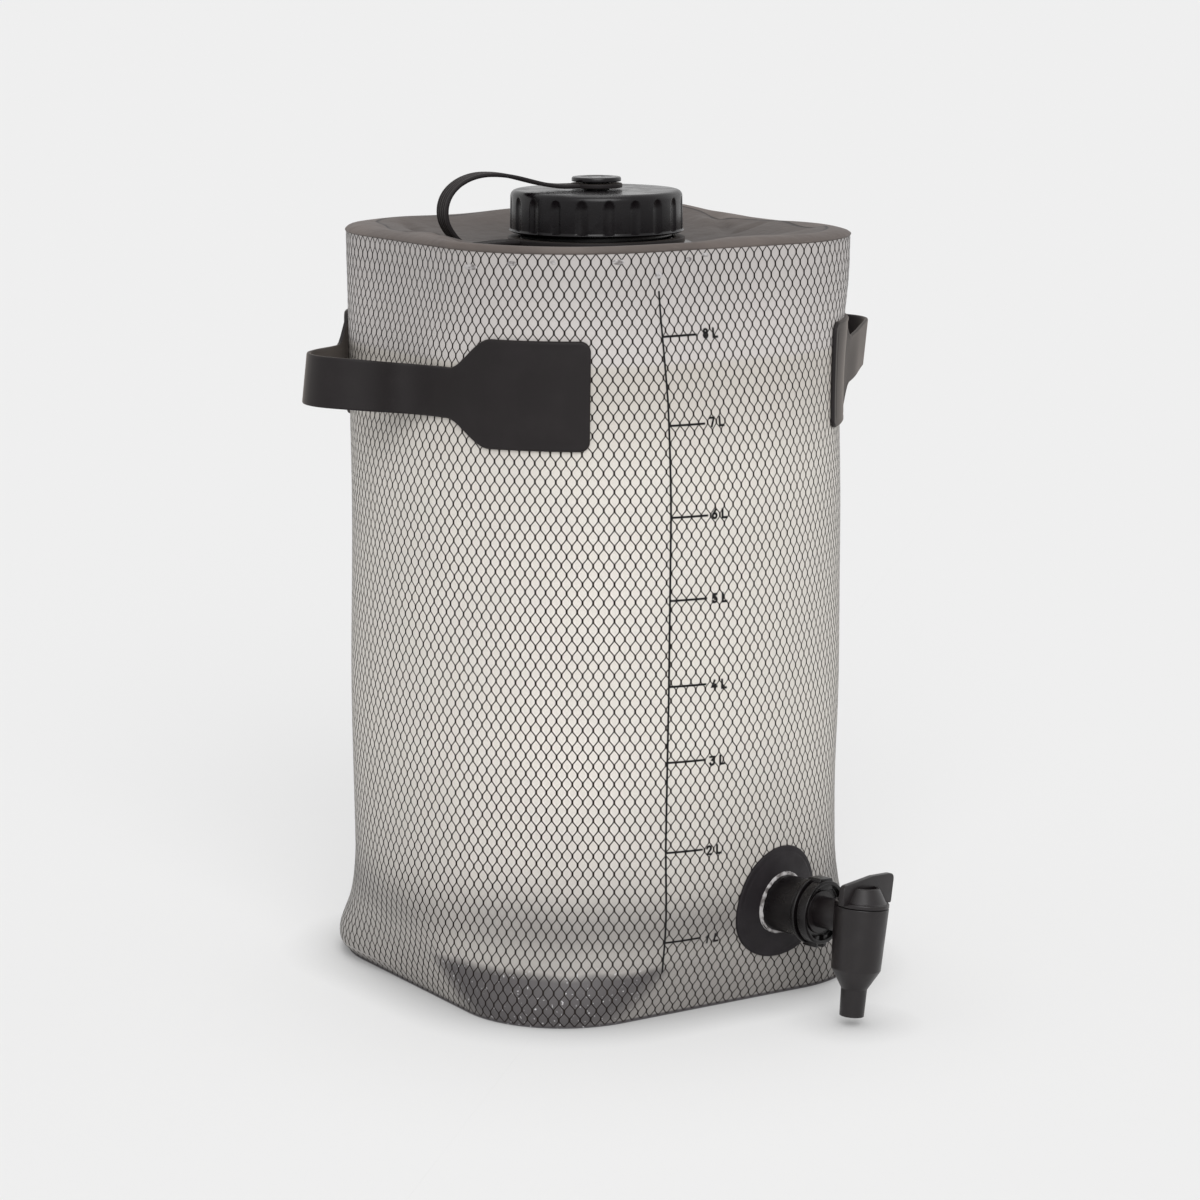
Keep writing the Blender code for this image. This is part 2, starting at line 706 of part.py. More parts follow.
def hinge_block(radius):
    """Block with a round nose: the handle's fixed side of its hinge line on the +X side."""
    tall = PAD_HEIGHT
    wide = BAG_RADIUS + LOOP_STANDOFF
    hinge = hinge_reach()
    nose = []
    for index in range(13):
        angle = radians(mix(-90.0, 90.0, index / 12.0))
        nose.append((hinge + radius * cos(angle), HANDLE_HEIGHT + radius * sin(angle)))
    outline = [(0.0, HANDLE_HEIGHT - tall), (hinge, HANDLE_HEIGHT - tall)]
    outline += nose
    outline += [(hinge, HANDLE_HEIGHT + tall), (0.0, HANDLE_HEIGHT + tall)]
    points = [(x, -wide, z) for x, z in outline]
    return extruded(points, (0.0, 2.0 * wide, 0.0))


def turn_about_z(bm, angle):
    """Turns a bmesh about the bag's axis."""
    bmesh.ops.rotate(
        bm, verts=bm.verts, cent=(0.0, 0.0, 0.0), matrix=Matrix.Rotation(angle, 3, "Z"))


def mirror_y(bm):
    """Mirrors a bmesh in the plane of the handle's middle."""
    bmesh.ops.scale(bm, verts=bm.verts, vec=(1.0, -1.0, 1.0))
    bmesh.ops.reverse_faces(bm, faces=bm.faces)


def build_handle_pad(side, turn, end):
    """Pad welded to the wall, with the short length of strap up to the hinge line."""
    rings = []
    for arc in pad_stations():
        half = pad_half_height(arc)
        inner = wall_strip(arc, half, SEAT_GAP)
        outer = wall_strip(arc, half, SEAT_GAP + HANDLE_THICKNESS)
        rings.append(strap_ring(inner, outer))
    samples = loop_path()
    rings += free_rings(samples, wall_lean())[1:10]
    bm = bmesh.new()
    loft(bm, rings)
    block = hinge_block(HINGE_END_RADIUS)
    far = (end == "rear") == (side == "right")
    for shape in (bm, block):
        if far:
            mirror_y(shape)
        turn_about_z(shape, turn)
    pad = make_part(bm, "handle_" + side + "_" + end + "_pad", "strap")
    cut(pad, make_cutter(block, "pad_hinge_" + side + "_" + end), "INTERSECT")
    return pad


def build_handle_strap(side, turn):
    """Loop of the handle that stands off the wall and lifts."""
    samples = loop_path()
    half = free_rings(samples, wall_lean())[3:]
    rings = list(half)
    for ring in reversed(half[:-1]):
        rings.append([Vector((point.x, -point.y, point.z)) for point in ring])
    bm = bmesh.new()
    loft(bm, rings)
    block = hinge_block(HINGE_END_RADIUS + SEAT_GAP)
    turn_about_z(bm, turn)
    turn_about_z(block, turn)
    direction = 1.0 if side == "right" else -1.0
    origin = (direction * hinge_reach(), 0.0, HANDLE_HEIGHT)
    strap = make_part(bm, "handle_" + side + "_strap", "strap", origin)
    cut(strap, make_cutter(block, "strap_hinge_" + side))
    return strap


def build_handles():
    """Both side handles."""
    for side, turn in (("left", pi), ("right", 0.0)):
        for end in ("front", "rear"):
            build_handle_pad(side, turn, end)
        build_handle_strap(side, turn)


def tap_arc():
    """Arc length from the middle of the -Y side to the tap."""
    return TAP_ANGLE * BAG_RADIUS


def wall_disc(radius, height_of, bore, parts):
    """Ring that follows the wall round the tap: height_of gives its lower and upper offset."""
    rings = []
    steps = SMALL_TURN_STEPS + 8
    spans = [mix(bore, radius, index / parts) for index in range(parts + 1)]
    for upper in (False, True):
        for span in (reversed(spans) if upper else spans):
            low, high = height_of(span)
            ring = []
            for index in range(steps):
                angle = 2.0 * pi * index / steps
                arc = tap_arc() + span * cos(angle)
                ring.append(wall_point(arc, TAP_HEIGHT + span * sin(angle), high if upper else low))
            rings.append(ring)
    bm = bmesh.new()
    loft(bm, rings, closed=True)
    return bm


def build_patch():
    """Round patch welded over the port's flange."""
    over_flange = SEAT_GAP + PORT_FLANGE_THICKNESS + SEAT_GAP
    step = PORT_FLANGE_RADIUS + SEAT_GAP

    def height_of(span):
        share = smooth_step((PATCH_RADIUS - span) / (PATCH_RADIUS - step))
        low = mix(SEAT_GAP, over_flange, share)
        return low, low + PATCH_THICKNESS

    bm = wall_disc(PATCH_RADIUS, height_of, PORT_RADIUS + SEAT_GAP, 3)
    return make_part(bm, "tap_patch", "panel")


def build_port(axis, wall):
    """Port: a flange on the wall and a boss with the thread for the collar."""

    def height_of(span):
        return SEAT_GAP, SEAT_GAP + PORT_FLANGE_THICKNESS

    bm = wall_disc(PORT_FLANGE_RADIUS, height_of, PORT_BORE_RADIUS / 2.0, 2)
    port = make_part(bm, "tap_port", "tap")
    end = PORT_LENGTH + PORT_THREAD_LENGTH
    base = SEAT_GAP + PORT_FLANGE_THICKNESS / 2.0
    profile = [
        (0.0, end),
        (PORT_THREAD_RADIUS, end),
        (PORT_THREAD_RADIUS, PORT_LENGTH),
        (PORT_RADIUS - NECK_EDGE, PORT_LENGTH),
        (PORT_RADIUS, PORT_LENGTH - NECK_EDGE),
        (PORT_RADIUS, base),
        (0.0, base)]
    boss = make_cutter(turned(profile, SMALL_TURN_STEPS), "port_boss", axis)
    cut(port, boss, "UNION")
    bore = make_cutter(
        cylinder(PORT_BORE_RADIUS, -PORT_RADIUS, end + PORT_RADIUS), "port_bore", axis)
    cut(port, bore)
    cut(wall, bore)
    return port


def build_weld_ring():
    """Clear bead of weld round the boss, on the patch."""
    low = 2.0 * SEAT_GAP + PORT_FLANGE_THICKNESS + PATCH_THICKNESS
    inner = PORT_RADIUS + SEAT_GAP

    def height_of(span):
        share = (span - inner) / WELD_RING_WIDTH
        bulge = WELD_RING_THICKNESS * sqrt(max(1.0 - share ** 2 * 0.9, 0.0))
        return low + SEAT_GAP, low + SEAT_GAP + bulge

    bm = wall_disc(inner + WELD_RING_WIDTH, height_of, inner, 2)
    return make_part(bm, "port_weld_ring", "weld")


def build_port_seal(axis):
    """Flat seal between the port's end and the tap's flange."""
    low = PORT_LENGTH + PORT_THREAD_LENGTH + SEAT_GAP
    high = low + PORT_SEAL_THICKNESS
    inner = TUBE_RADIUS + SEAT_GAP
    outer = TUBE_FLANGE_RADIUS - SEAT_GAP
    profile = [(inner, high), (outer, high), (outer, low), (inner, low)]
    return make_part(turned(profile, SMALL_TURN_STEPS), "port_seal", "seal", parent=axis)


def flange_seat():
    """Where the tap's flange starts, along the tap's axis."""
    return PORT_LENGTH + PORT_THREAD_LENGTH + PORT_SEAL_THICKNESS + 2.0 * SEAT_GAP


def build_collar(axis):
    """Union nut with two ears, which holds the tap to the port."""
    low = PORT_LENGTH + SEAT_GAP
    wall = flange_seat() + TUBE_FLANGE_THICKNESS + SEAT_GAP
    high = wall + COLLAR_END_THICKNESS
    cavity = COLLAR_RADIUS - COLLAR_WALL
    hole = TUBE_RADIUS + SEAT_GAP
    bevel = COLLAR_END_THICKNESS * 0.4
    profile = [
        (hole, high),
        (COLLAR_RADIUS - bevel, high),
        (COLLAR_RADIUS, high - bevel),
        (COLLAR_RADIUS, low + bevel),
        (COLLAR_RADIUS - bevel * 0.5, low),
        (cavity, low),
        (cavity, wall),
        (hole, wall)]
    collar = make_part(turned(profile, SMALL_TURN_STEPS), "tap_collar", "tap", parent=axis)
    inside = (cavity + COLLAR_RADIUS) / 2.0
    for name, direction in (("upper_ear", 1.0), ("lower_ear", -1.0)):
        half = EAR_WIDTH / 2.0
        outline = [
            (-half, direction * inside, low + bevel),
            (half, direction * inside, low + bevel),
            (half, direction * (EAR_RADIUS - EAR_CORNER), low + bevel),
            (half - EAR_CORNER, direction * EAR_RADIUS, low + bevel),
            (EAR_CORNER - half, direction * EAR_RADIUS, low + bevel),
            (-half, direction * (EAR_RADIUS - EAR_CORNER), low + bevel)]
        ear = make_cutter(extruded(outline, (0.0, 0.0, high - bevel * 2.0 - low)), name, axis)
        cut(collar, ear, "UNION")
    return collar


def build_tap_body(axis, barrel):
    """Tap body: the tube from the port, the upright barrel and the nozzle."""
    floor = BARREL_BOTTOM + CONE_LENGTH
    cavity = VALVE_RADIUS + VALVE_CLEARANCE
    edge = NECK_EDGE
    profile = [
        (cavity, BARREL_TOP),
        (BARREL_TOP_RADIUS - edge / 2.0, BARREL_TOP),
        (BARREL_TOP_RADIUS, BARREL_TOP - edge / 2.0),
        (BARREL_LOW_RADIUS, edge - BARREL_BOTTOM),
        (BARREL_LOW_RADIUS - edge, -BARREL_BOTTOM),
        (NOZZLE_RADIUS + edge, -floor),
        (NOZZLE_RADIUS, -floor - edge),
        (NOZZLE_RADIUS, -floor - NOZZLE_LENGTH),
        (NOZZLE_BORE_RADIUS, -floor - NOZZLE_LENGTH),
        (NOZZLE_BORE_RADIUS, -floor),
        (cavity - edge, -VALVE_DEPTH - VALVE_CLEARANCE - edge),
        (cavity, -VALVE_DEPTH - VALVE_CLEARANCE)]
    body = make_part(turned(profile, SMALL_TURN_STEPS), "tap_body", "tap", parent=barrel)
    seat = flange_seat()
    inside = BARREL_REACH - (cavity + BARREL_LOW_RADIUS) / 2.0
    tube_profile = [
        (0.0, inside),
        (TUBE_RADIUS, inside),
        (TUBE_RADIUS, seat + TUBE_FLANGE_THICKNESS),
        (TUBE_FLANGE_RADIUS, seat + TUBE_FLANGE_THICKNESS),
        (TUBE_FLANGE_RADIUS, seat),
        (TUBE_RADIUS, seat),
        (TUBE_RADIUS, seat - TUBE_SPIGOT),
        (0.0, seat - TUBE_SPIGOT)]
    tube = make_cutter(turned(tube_profile, SMALL_TURN_STEPS), "tap_tube", axis)
    cut(body, tube, "UNION")
    bore = make_cutter(
        cylinder(TUBE_BORE_RADIUS, seat - 2.0 * TUBE_SPIGOT, BARREL_REACH), "tube_bore", axis)
    cut(body, bore)
    return body


def build_plug(barrel):
    """Turning plug of the valve, with its cross port and a groove for its ring."""
    low = -VALVE_DEPTH
    high = BARREL_TOP - SEAT_GAP
    stem = high + VALVE_STEM_HEIGHT
    groove_high = high - O_RING_WIDTH
    groove_low = groove_high - O_RING_WIDTH - 2.0 * SEAT_GAP
    groove = VALVE_RADIUS - O_RING_WIDTH - SEAT_GAP / 2.0
    profile = [
        (0.0, stem),
        (VALVE_STEM_RADIUS, stem),
        (VALVE_STEM_RADIUS, high),
        (VALVE_RADIUS, high),
        (VALVE_RADIUS, groove_high),
        (groove, groove_high),
        (groove, groove_low),
        (VALVE_RADIUS, groove_low),
        (VALVE_RADIUS, low),
        (0.0, low)]
    plug = make_part(turned(profile, SMALL_TURN_STEPS), "tap_plug", "seal", parent=barrel)
    port = cylinder(VALVE_PORT_RADIUS, 0.0, 2.0 * VALVE_RADIUS)
    bmesh.ops.rotate(
        port, verts=port.verts, cent=(0.0, 0.0, 0.0), matrix=Matrix.Rotation(pi / 2.0, 3, "X"))
    cut(plug, make_cutter(port, "plug_side_port", barrel))
    drain = cylinder(VALVE_PORT_RADIUS, 2.0 * low, 0.0)
    cut(plug, make_cutter(drain, "plug_drain", barrel))
    middle = (groove_high + groove_low) / 2.0
    inner = groove + SEAT_GAP / 2.0
    ring_profile = [
        (inner + O_RING_WIDTH * (1.0 + cos(angle)) / 2.0, middle + O_RING_WIDTH * sin(angle) / 2.0)
        for angle in (2.0 * pi * (0.25 - index / 6.0) for index in range(6))]
    make_part(turned(ring_profile, SMALL_TURN_STEPS), "plug_ring", "strap", parent=barrel)
    return plug


def build_knob(barrel):
    """Knob: a rim over the barrel, a tapered hub and an upright wing."""
    low = BARREL_TOP + SEAT_GAP
    rim = low + KNOB_RIM_HEIGHT
    top = low + HUB_HEIGHT
    socket = VALVE_STEM_RADIUS + SEAT_GAP
    ceiling = BARREL_TOP + VALVE_STEM_HEIGHT
    profile = [
        (0.0, top),
        (HUB_TOP_RADIUS, top),
        (HUB_TOP_RADIUS + NECK_EDGE, top - NECK_EDGE),
        (HUB_RADIUS - NECK_EDGE, rim + NECK_EDGE * 2.0),
        (HUB_RADIUS, rim + NECK_EDGE),
        (BARREL_TOP_RADIUS - NECK_EDGE, rim),
        (BARREL_TOP_RADIUS, rim - NECK_EDGE),
        (BARREL_TOP_RADIUS, low),
        (socket, low),
        (socket, ceiling),
        (0.0, ceiling)]
    knob = make_part(turned(profile, SMALL_TURN_STEPS), "tap_knob", "tap", parent=barrel)
    half = WING_LENGTH / 2.0
    thick = WING_THICKNESS / 2.0
    foot = rim - WING_SINK
    left_top = low + WING_LOW_HEIGHT
    right_top = low + WING_HIGH_HEIGHT
    outline = [(-half, -thick, foot), (half, -thick, foot)]
    corner = WING_CORNER
    for height, reach in fillet(right_top - corner, half - corner, corner, 90.0, 0.0, 3):
        outline.append((reach, -thick, height))
    for height, reach in fillet(left_top - corner, corner - half, corner, 0.0, -90.0, 3):
        outline.append((reach, -thick, height))
    scoop = make_cutter(cylinder(SCOOP_RADIUS, top - SCOOP_DEPTH, top + SCOOP_DEPTH), "scoop", barrel)
    cut(knob, scoop)
    wing = make_cutter(extruded(outline, (0.0, WING_THICKNESS, 0.0)), "wing", barrel)
    cut(knob, wing, "UNION")
    socket_cutter = make_cutter(cylinder(socket, low - NECK_EDGE, ceiling), "knob_socket", barrel)
    cut(knob, socket_cutter)
    return knob


def make_empty(name, location, rotation, parent=None):
    """Makes an empty whose +Z lies on a joint's axis."""
    empty = bpy.data.objects.new(name, None)
    empty.location = location
    empty.rotation_euler = rotation
    empty.parent = parent
    PARTS.objects.link(empty)
    return empty


def build_tap(wall):
    """The port and the tap on it."""
    start = wall_point(tap_arc(), TAP_HEIGHT, 0.0)
    _, normal = walk_outline(*bag_section(TAP_HEIGHT), tap_arc())
    out = Matrix.Rotation(TAP_YAW, 2) @ normal
    rotation = Vector((out.x, out.y, 0.0)).to_track_quat("Z", "Y").to_euler()
    axis = make_empty("tap_axis", start, rotation)
    swivel = make_empty("tap_swivel", (0.0, 0.0, 0.0), (0.0, 0.0, TAP_ROLL), axis)
    barrel = make_empty("barrel_axis", (0.0, 0.0, BARREL_REACH), (-pi / 2.0, 0.0, 0.0), swivel)
    bpy.context.view_layer.update()
    build_patch()
    build_port(axis, wall)
    build_weld_ring()
    build_port_seal(swivel)
    build_collar(swivel)
    build_tap_body(swivel, barrel)
    build_plug(barrel)
    build_knob(barrel)


def build_cap_group():
    """Neck, cap and tether."""
    axis = make_empty("cap_axis", (0.0, 0.0, 0.0), (0.0, 0.0, 0.0))
    build_neck()
    build_cap(axis)
    build_cap_seal(axis)
    build_stud(axis)
    build_tether_ring()
    build_tether_eye()
    build_tether_strap()


def main():
    """Builds the container from the wall outwards."""
    wall = build_side_wall()
    build_base_panel()
    build_top_panel()
    build_cap_group()
    build_handles()
    build_tap(wall)


main()
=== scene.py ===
"""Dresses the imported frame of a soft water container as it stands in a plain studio.

The bag is a translucent film with a net moulded into it, under a coated fabric panel with a screw cap.
Two flexible handles lie on its sides and a tap stands low on its front.
All places are in metres in the frame's own axes: +Z up, the tap on the -Y side.
"""

from __future__ import annotations

import json
import logging
from dataclasses import dataclass
from enum import Enum
from math import asin, atan2, cos, exp, pi, radians, sin, sqrt, tan
from typing import Callable, Sequence, Union

import bmesh
import bpy
import numpy as np
from mathutils import Matrix, Vector

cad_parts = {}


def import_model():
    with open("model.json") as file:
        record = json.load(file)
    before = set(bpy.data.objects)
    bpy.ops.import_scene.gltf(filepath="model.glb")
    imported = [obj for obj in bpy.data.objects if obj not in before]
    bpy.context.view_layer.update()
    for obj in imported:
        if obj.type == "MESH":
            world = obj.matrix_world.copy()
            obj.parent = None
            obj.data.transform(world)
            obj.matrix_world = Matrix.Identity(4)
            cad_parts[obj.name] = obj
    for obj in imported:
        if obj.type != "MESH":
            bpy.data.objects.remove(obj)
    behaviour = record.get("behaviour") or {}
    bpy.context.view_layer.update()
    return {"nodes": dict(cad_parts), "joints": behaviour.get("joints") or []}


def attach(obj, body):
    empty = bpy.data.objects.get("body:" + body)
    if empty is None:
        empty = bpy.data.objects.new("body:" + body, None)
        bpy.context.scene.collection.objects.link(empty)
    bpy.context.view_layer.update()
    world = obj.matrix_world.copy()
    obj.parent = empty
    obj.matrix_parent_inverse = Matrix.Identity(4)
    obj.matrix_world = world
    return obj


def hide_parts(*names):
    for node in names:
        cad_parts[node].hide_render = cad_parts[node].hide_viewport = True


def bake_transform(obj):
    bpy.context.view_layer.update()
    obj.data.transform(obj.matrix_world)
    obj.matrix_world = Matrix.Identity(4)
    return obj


LOG = logging.getLogger("water_container")
MM = 0.001
Color = tuple[float, float, float]
Pair = tuple[float, float]
Triple = tuple[float, float, float]
Profile = Sequence[Pair]
Mesh = bpy.types.Mesh
Object = bpy.types.Object
Material = bpy.types.Material
Socket = bpy.types.NodeSocket
Value = Union[Socket, float]
Tint = Union[Socket, Color]
Turned = Callable[[float, float, float], Pair]
WHITE = (1.0, 1.0, 1.0, 1.0)
NEAR = 1e-7


class Slot(Enum):
    """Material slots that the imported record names."""

    FILM = "film"
    PANEL = "panel"
    STRAP = "strap"
    CAP = "cap"
    SEAL = "seal"
    TAP = "tap"
    WELD = "weld"


class Body(Enum):
    """Bodies that the joints move."""

    ROOT = "root"
    EYE = "eye"
    CAP = "cap"
    LEFT_LOOP = "left_loop"
    RIGHT_LOOP = "right_loop"
    COLLAR = "collar"
    TAP = "tap"
    KNOB = "knob"


class Side(Enum):
    """Side of the bag that a handle is on, as the sign of its X."""

    LEFT = -1.0
    RIGHT = 1.0


class Join(Enum):
    """Ways to bring two closed meshes together."""

    ADD = "UNION"
    CUT = "DIFFERENCE"


class Sum(Enum):
    """Sums that a Math node does."""

    ADD = "ADD"
    LESS = "SUBTRACT"
    TIMES = "MULTIPLY"
    OVER = "DIVIDE"
    LARGER = "MAXIMUM"
    SIZE = "ABSOLUTE"
    SINE = "SINE"
    ROOT = "SQRT"


def linear(red: int, green: int, blue: int) -> Color:
    """Turns a display colour into the linear colour that shaders take.

    Args:
        red: Display value from 0 to 255.
        green: Display value from 0 to 255.
        blue: Display value from 0 to 255.

    Returns:
        The linear colour.
    """
    shares = [value / 255.0 for value in (red, green, blue)]
    return tuple(s / 12.92 if s <= 0.04045 else ((s + 0.055) / 1.055) ** 2.4 for s in shares)


def ease(value: float) -> float:
    """Eases a share from 0 to 1, level at both ends."""
    share = min(max(value, 0.0), 1.0)
    return share * share * (3.0 - 2.0 * share)


def mix(low: float, high: float, share: float) -> float:
    """Goes from one value to another."""
    return low + (high - low) * share


def bell(distance: float, width: float) -> float:
    """Smooth bump that is 1 in its middle and fades over its width."""
    return exp(-((distance / width) ** 2))


def turn_apart(first: float, second: float) -> float:
    """Smallest turn between two angles."""
    return abs((first - second + pi) % (2.0 * pi) - pi)


def round_edge(away: float, radius: float) -> float:
    """Rise of a rounded edge as a share, at a distance in from it."""
    return sqrt(max(1.0 - min(max(1.0 - away / radius, 0.0), 1.0) ** 2, 0.0))


def steps_between(low: float, high: float, count: int) -> list[float]:
    """Values from one to another, in even steps."""
    return [mix(low, high, index / count) for index in range(count + 1)]


def hung(name: str, data: bpy.types.ID) -> Object:
    """Makes an object and links it to the scene.

    Args:
        name: Name of the object.
        data: Its mesh, lamp or camera.

    Returns:
        The object.
    """
    item = bpy.data.objects.new(name, data)
    bpy.context.scene.collection.objects.link(item)
    return item


class Nodes:
    """Short way to build one material's shader nodes round its Principled shader."""

    def __init__(self, name: str, roughness: float, specular: float = 0.5) -> None:
        """Makes the material.

        Args:
            name: Name of the material.
            roughness: Roughness of the whole surface, where no node drives it.
            specular: Specular level of the whole surface.
        """
        self.material = bpy.data.materials.new(name)
        self.material.use_nodes = True
        self.tree = self.material.node_tree
        self.shader = self.tree.nodes["Principled BSDF"]
        self.plain({"Roughness": roughness, "Specular IOR Level": specular})
        self.coordinates = self.tree.nodes.new("ShaderNodeTexCoord").outputs["Object"]

    def put(self, socket: Socket, value: Value | Tint) -> None:
        """Links a socket to another, or sets its plain value.

        Args:
            socket: Socket that takes the value.
            value: Another node's output, a number or a colour.
        """
        if isinstance(value, Socket):
            self.tree.links.new(value, socket)
        elif isinstance(value, tuple) and socket.type == "RGBA":
            socket.default_value = (*value, 1.0)
        else:
            socket.default_value = value

    def fill(self, kind: str, values: dict[str | int, Value | Tint]) -> bpy.types.Node:
        """Adds a node.

        Args:
            kind: Name of the node's class.
            values: What goes into its sockets.

        Returns:
            The node.
        """
        node = self.tree.nodes.new(kind)
        for name, value in values.items():
            self.put(node.inputs[name], value)
        return node

    def stretched(self, across: float, up: float) -> Socket:
        """Object coordinates scaled across and up, for streaky patterns."""
        node = self.fill("ShaderNodeMapping", {"Vector": self.coordinates, "Scale": (across, across, up)})
        return node.outputs["Vector"]

    def noise(self, scale: float, detail: float = 2.0, vector: Socket | None = None) -> Socket:
        """Noise as a value from 0 to 1.

        Args:
            scale: Turns a metre.
            detail: Layers of finer noise.
            vector: Coordinates, where they aren't the object's own.

        Returns:
            The value.
        """
        vector = self.coordinates if vector is None else vector
        node = self.fill("ShaderNodeTexNoise", {"Vector": vector, "Scale": scale, "Detail": detail})
        return node.outputs["Fac"]

    def math(self, operation: Sum, first: Value, second: Value = 0.0) -> Socket:
        """Does a sum.

        Args:
            operation: The sum.
            first: First value.
            second: Second value, where the sum takes one.

        Returns:
            The result.
        """
        node = self.fill("ShaderNodeMath", {0: first, 1: second})
        node.operation = operation.value
        return node.outputs[0]

    def spread(self, value: Value, low: float, high: float, start: float = 0.0, end: float = 1.0,
               smooth: bool = True) -> Socket:
        """Maps a value from one range to another and keeps it inside.

        Args:
            value: The value.
            low: Where its range starts.
            high: Where its range ends.
            start: Result at the low end.
            end: Result at the high end.
            smooth: Eases both ends.

        Returns:
            The mapped value.
        """
        node = self.fill("ShaderNodeMapRange", {
            "Value": value, "From Min": low, "From Max": high, "To Min": start, "To Max": end})
        node.interpolation_type = "SMOOTHSTEP" if smooth else "LINEAR"
        return node.outputs["Result"]

    def blend(self, share: Value, low: Tint, high: Tint) -> Socket:
        """Mixes two colours.

        Args:
            share: Share of the second colour.
            low: First colour.
            high: Second colour.

        Returns:
            The mixed colour.
        """
        node = self.tree.nodes.new("ShaderNodeMix")
        node.data_type = "RGBA"
        for index, value in ((0, share), (6, low), (7, high)):
            self.put(node.inputs[index], value)
        return node.outputs[2]

    def axes(self) -> Sequence[Socket]:
        """X, Y and Z of the object coordinates."""
        return tuple(self.fill("ShaderNodeSeparateXYZ", {0: self.coordinates}).outputs)

    def bump(self, height: Socket, distance: float, strength: float = 1.0,
             below: Socket | None = None) -> Socket:
        """Makes a bump.

        Args:
            height: Height from 0 to 1.
            distance: What a height of 1 stands for.
            strength: Strength of the bump.
            below: Normal that it is stacked on.

        Returns:
            The normal.
        """
        node = self.fill("ShaderNodeBump", {"Height": height, "Strength": strength, "Distance": distance})
        if below is not None:
            self.put(node.inputs["Normal"], below)
        return node.outputs["Normal"]

    def plain(self, values: dict[str, float | tuple]) -> None:
        """Sets values of the shader that are the same all over the surface."""
        for name, value in values.items():
            self.shader.inputs[name].default_value = value

    def done(self, color: Tint, normal: Socket | None = None, roughness: Socket | None = None) -> Material:
        """Feeds the shader and gives the material.

        Args:
            color: Base colour, plain or from a node.
            normal: Normal from a bump node.
            roughness: Roughness from a node, where it varies.

        Returns:
            The finished material.
        """
        for name, value in (("Base Color", color), ("Normal", normal), ("Roughness", roughness)):
            if value is not None:
                self.put(self.shader.inputs[name], value)
        return self.material


class Finish:
    """Finish of a piece's surface."""

    def material(self, name: str) -> Material:
        """Builds the finish as a material.

        Args:
            name: Name of the material.

        Returns:
            The material.
        """
        raise NotImplementedError


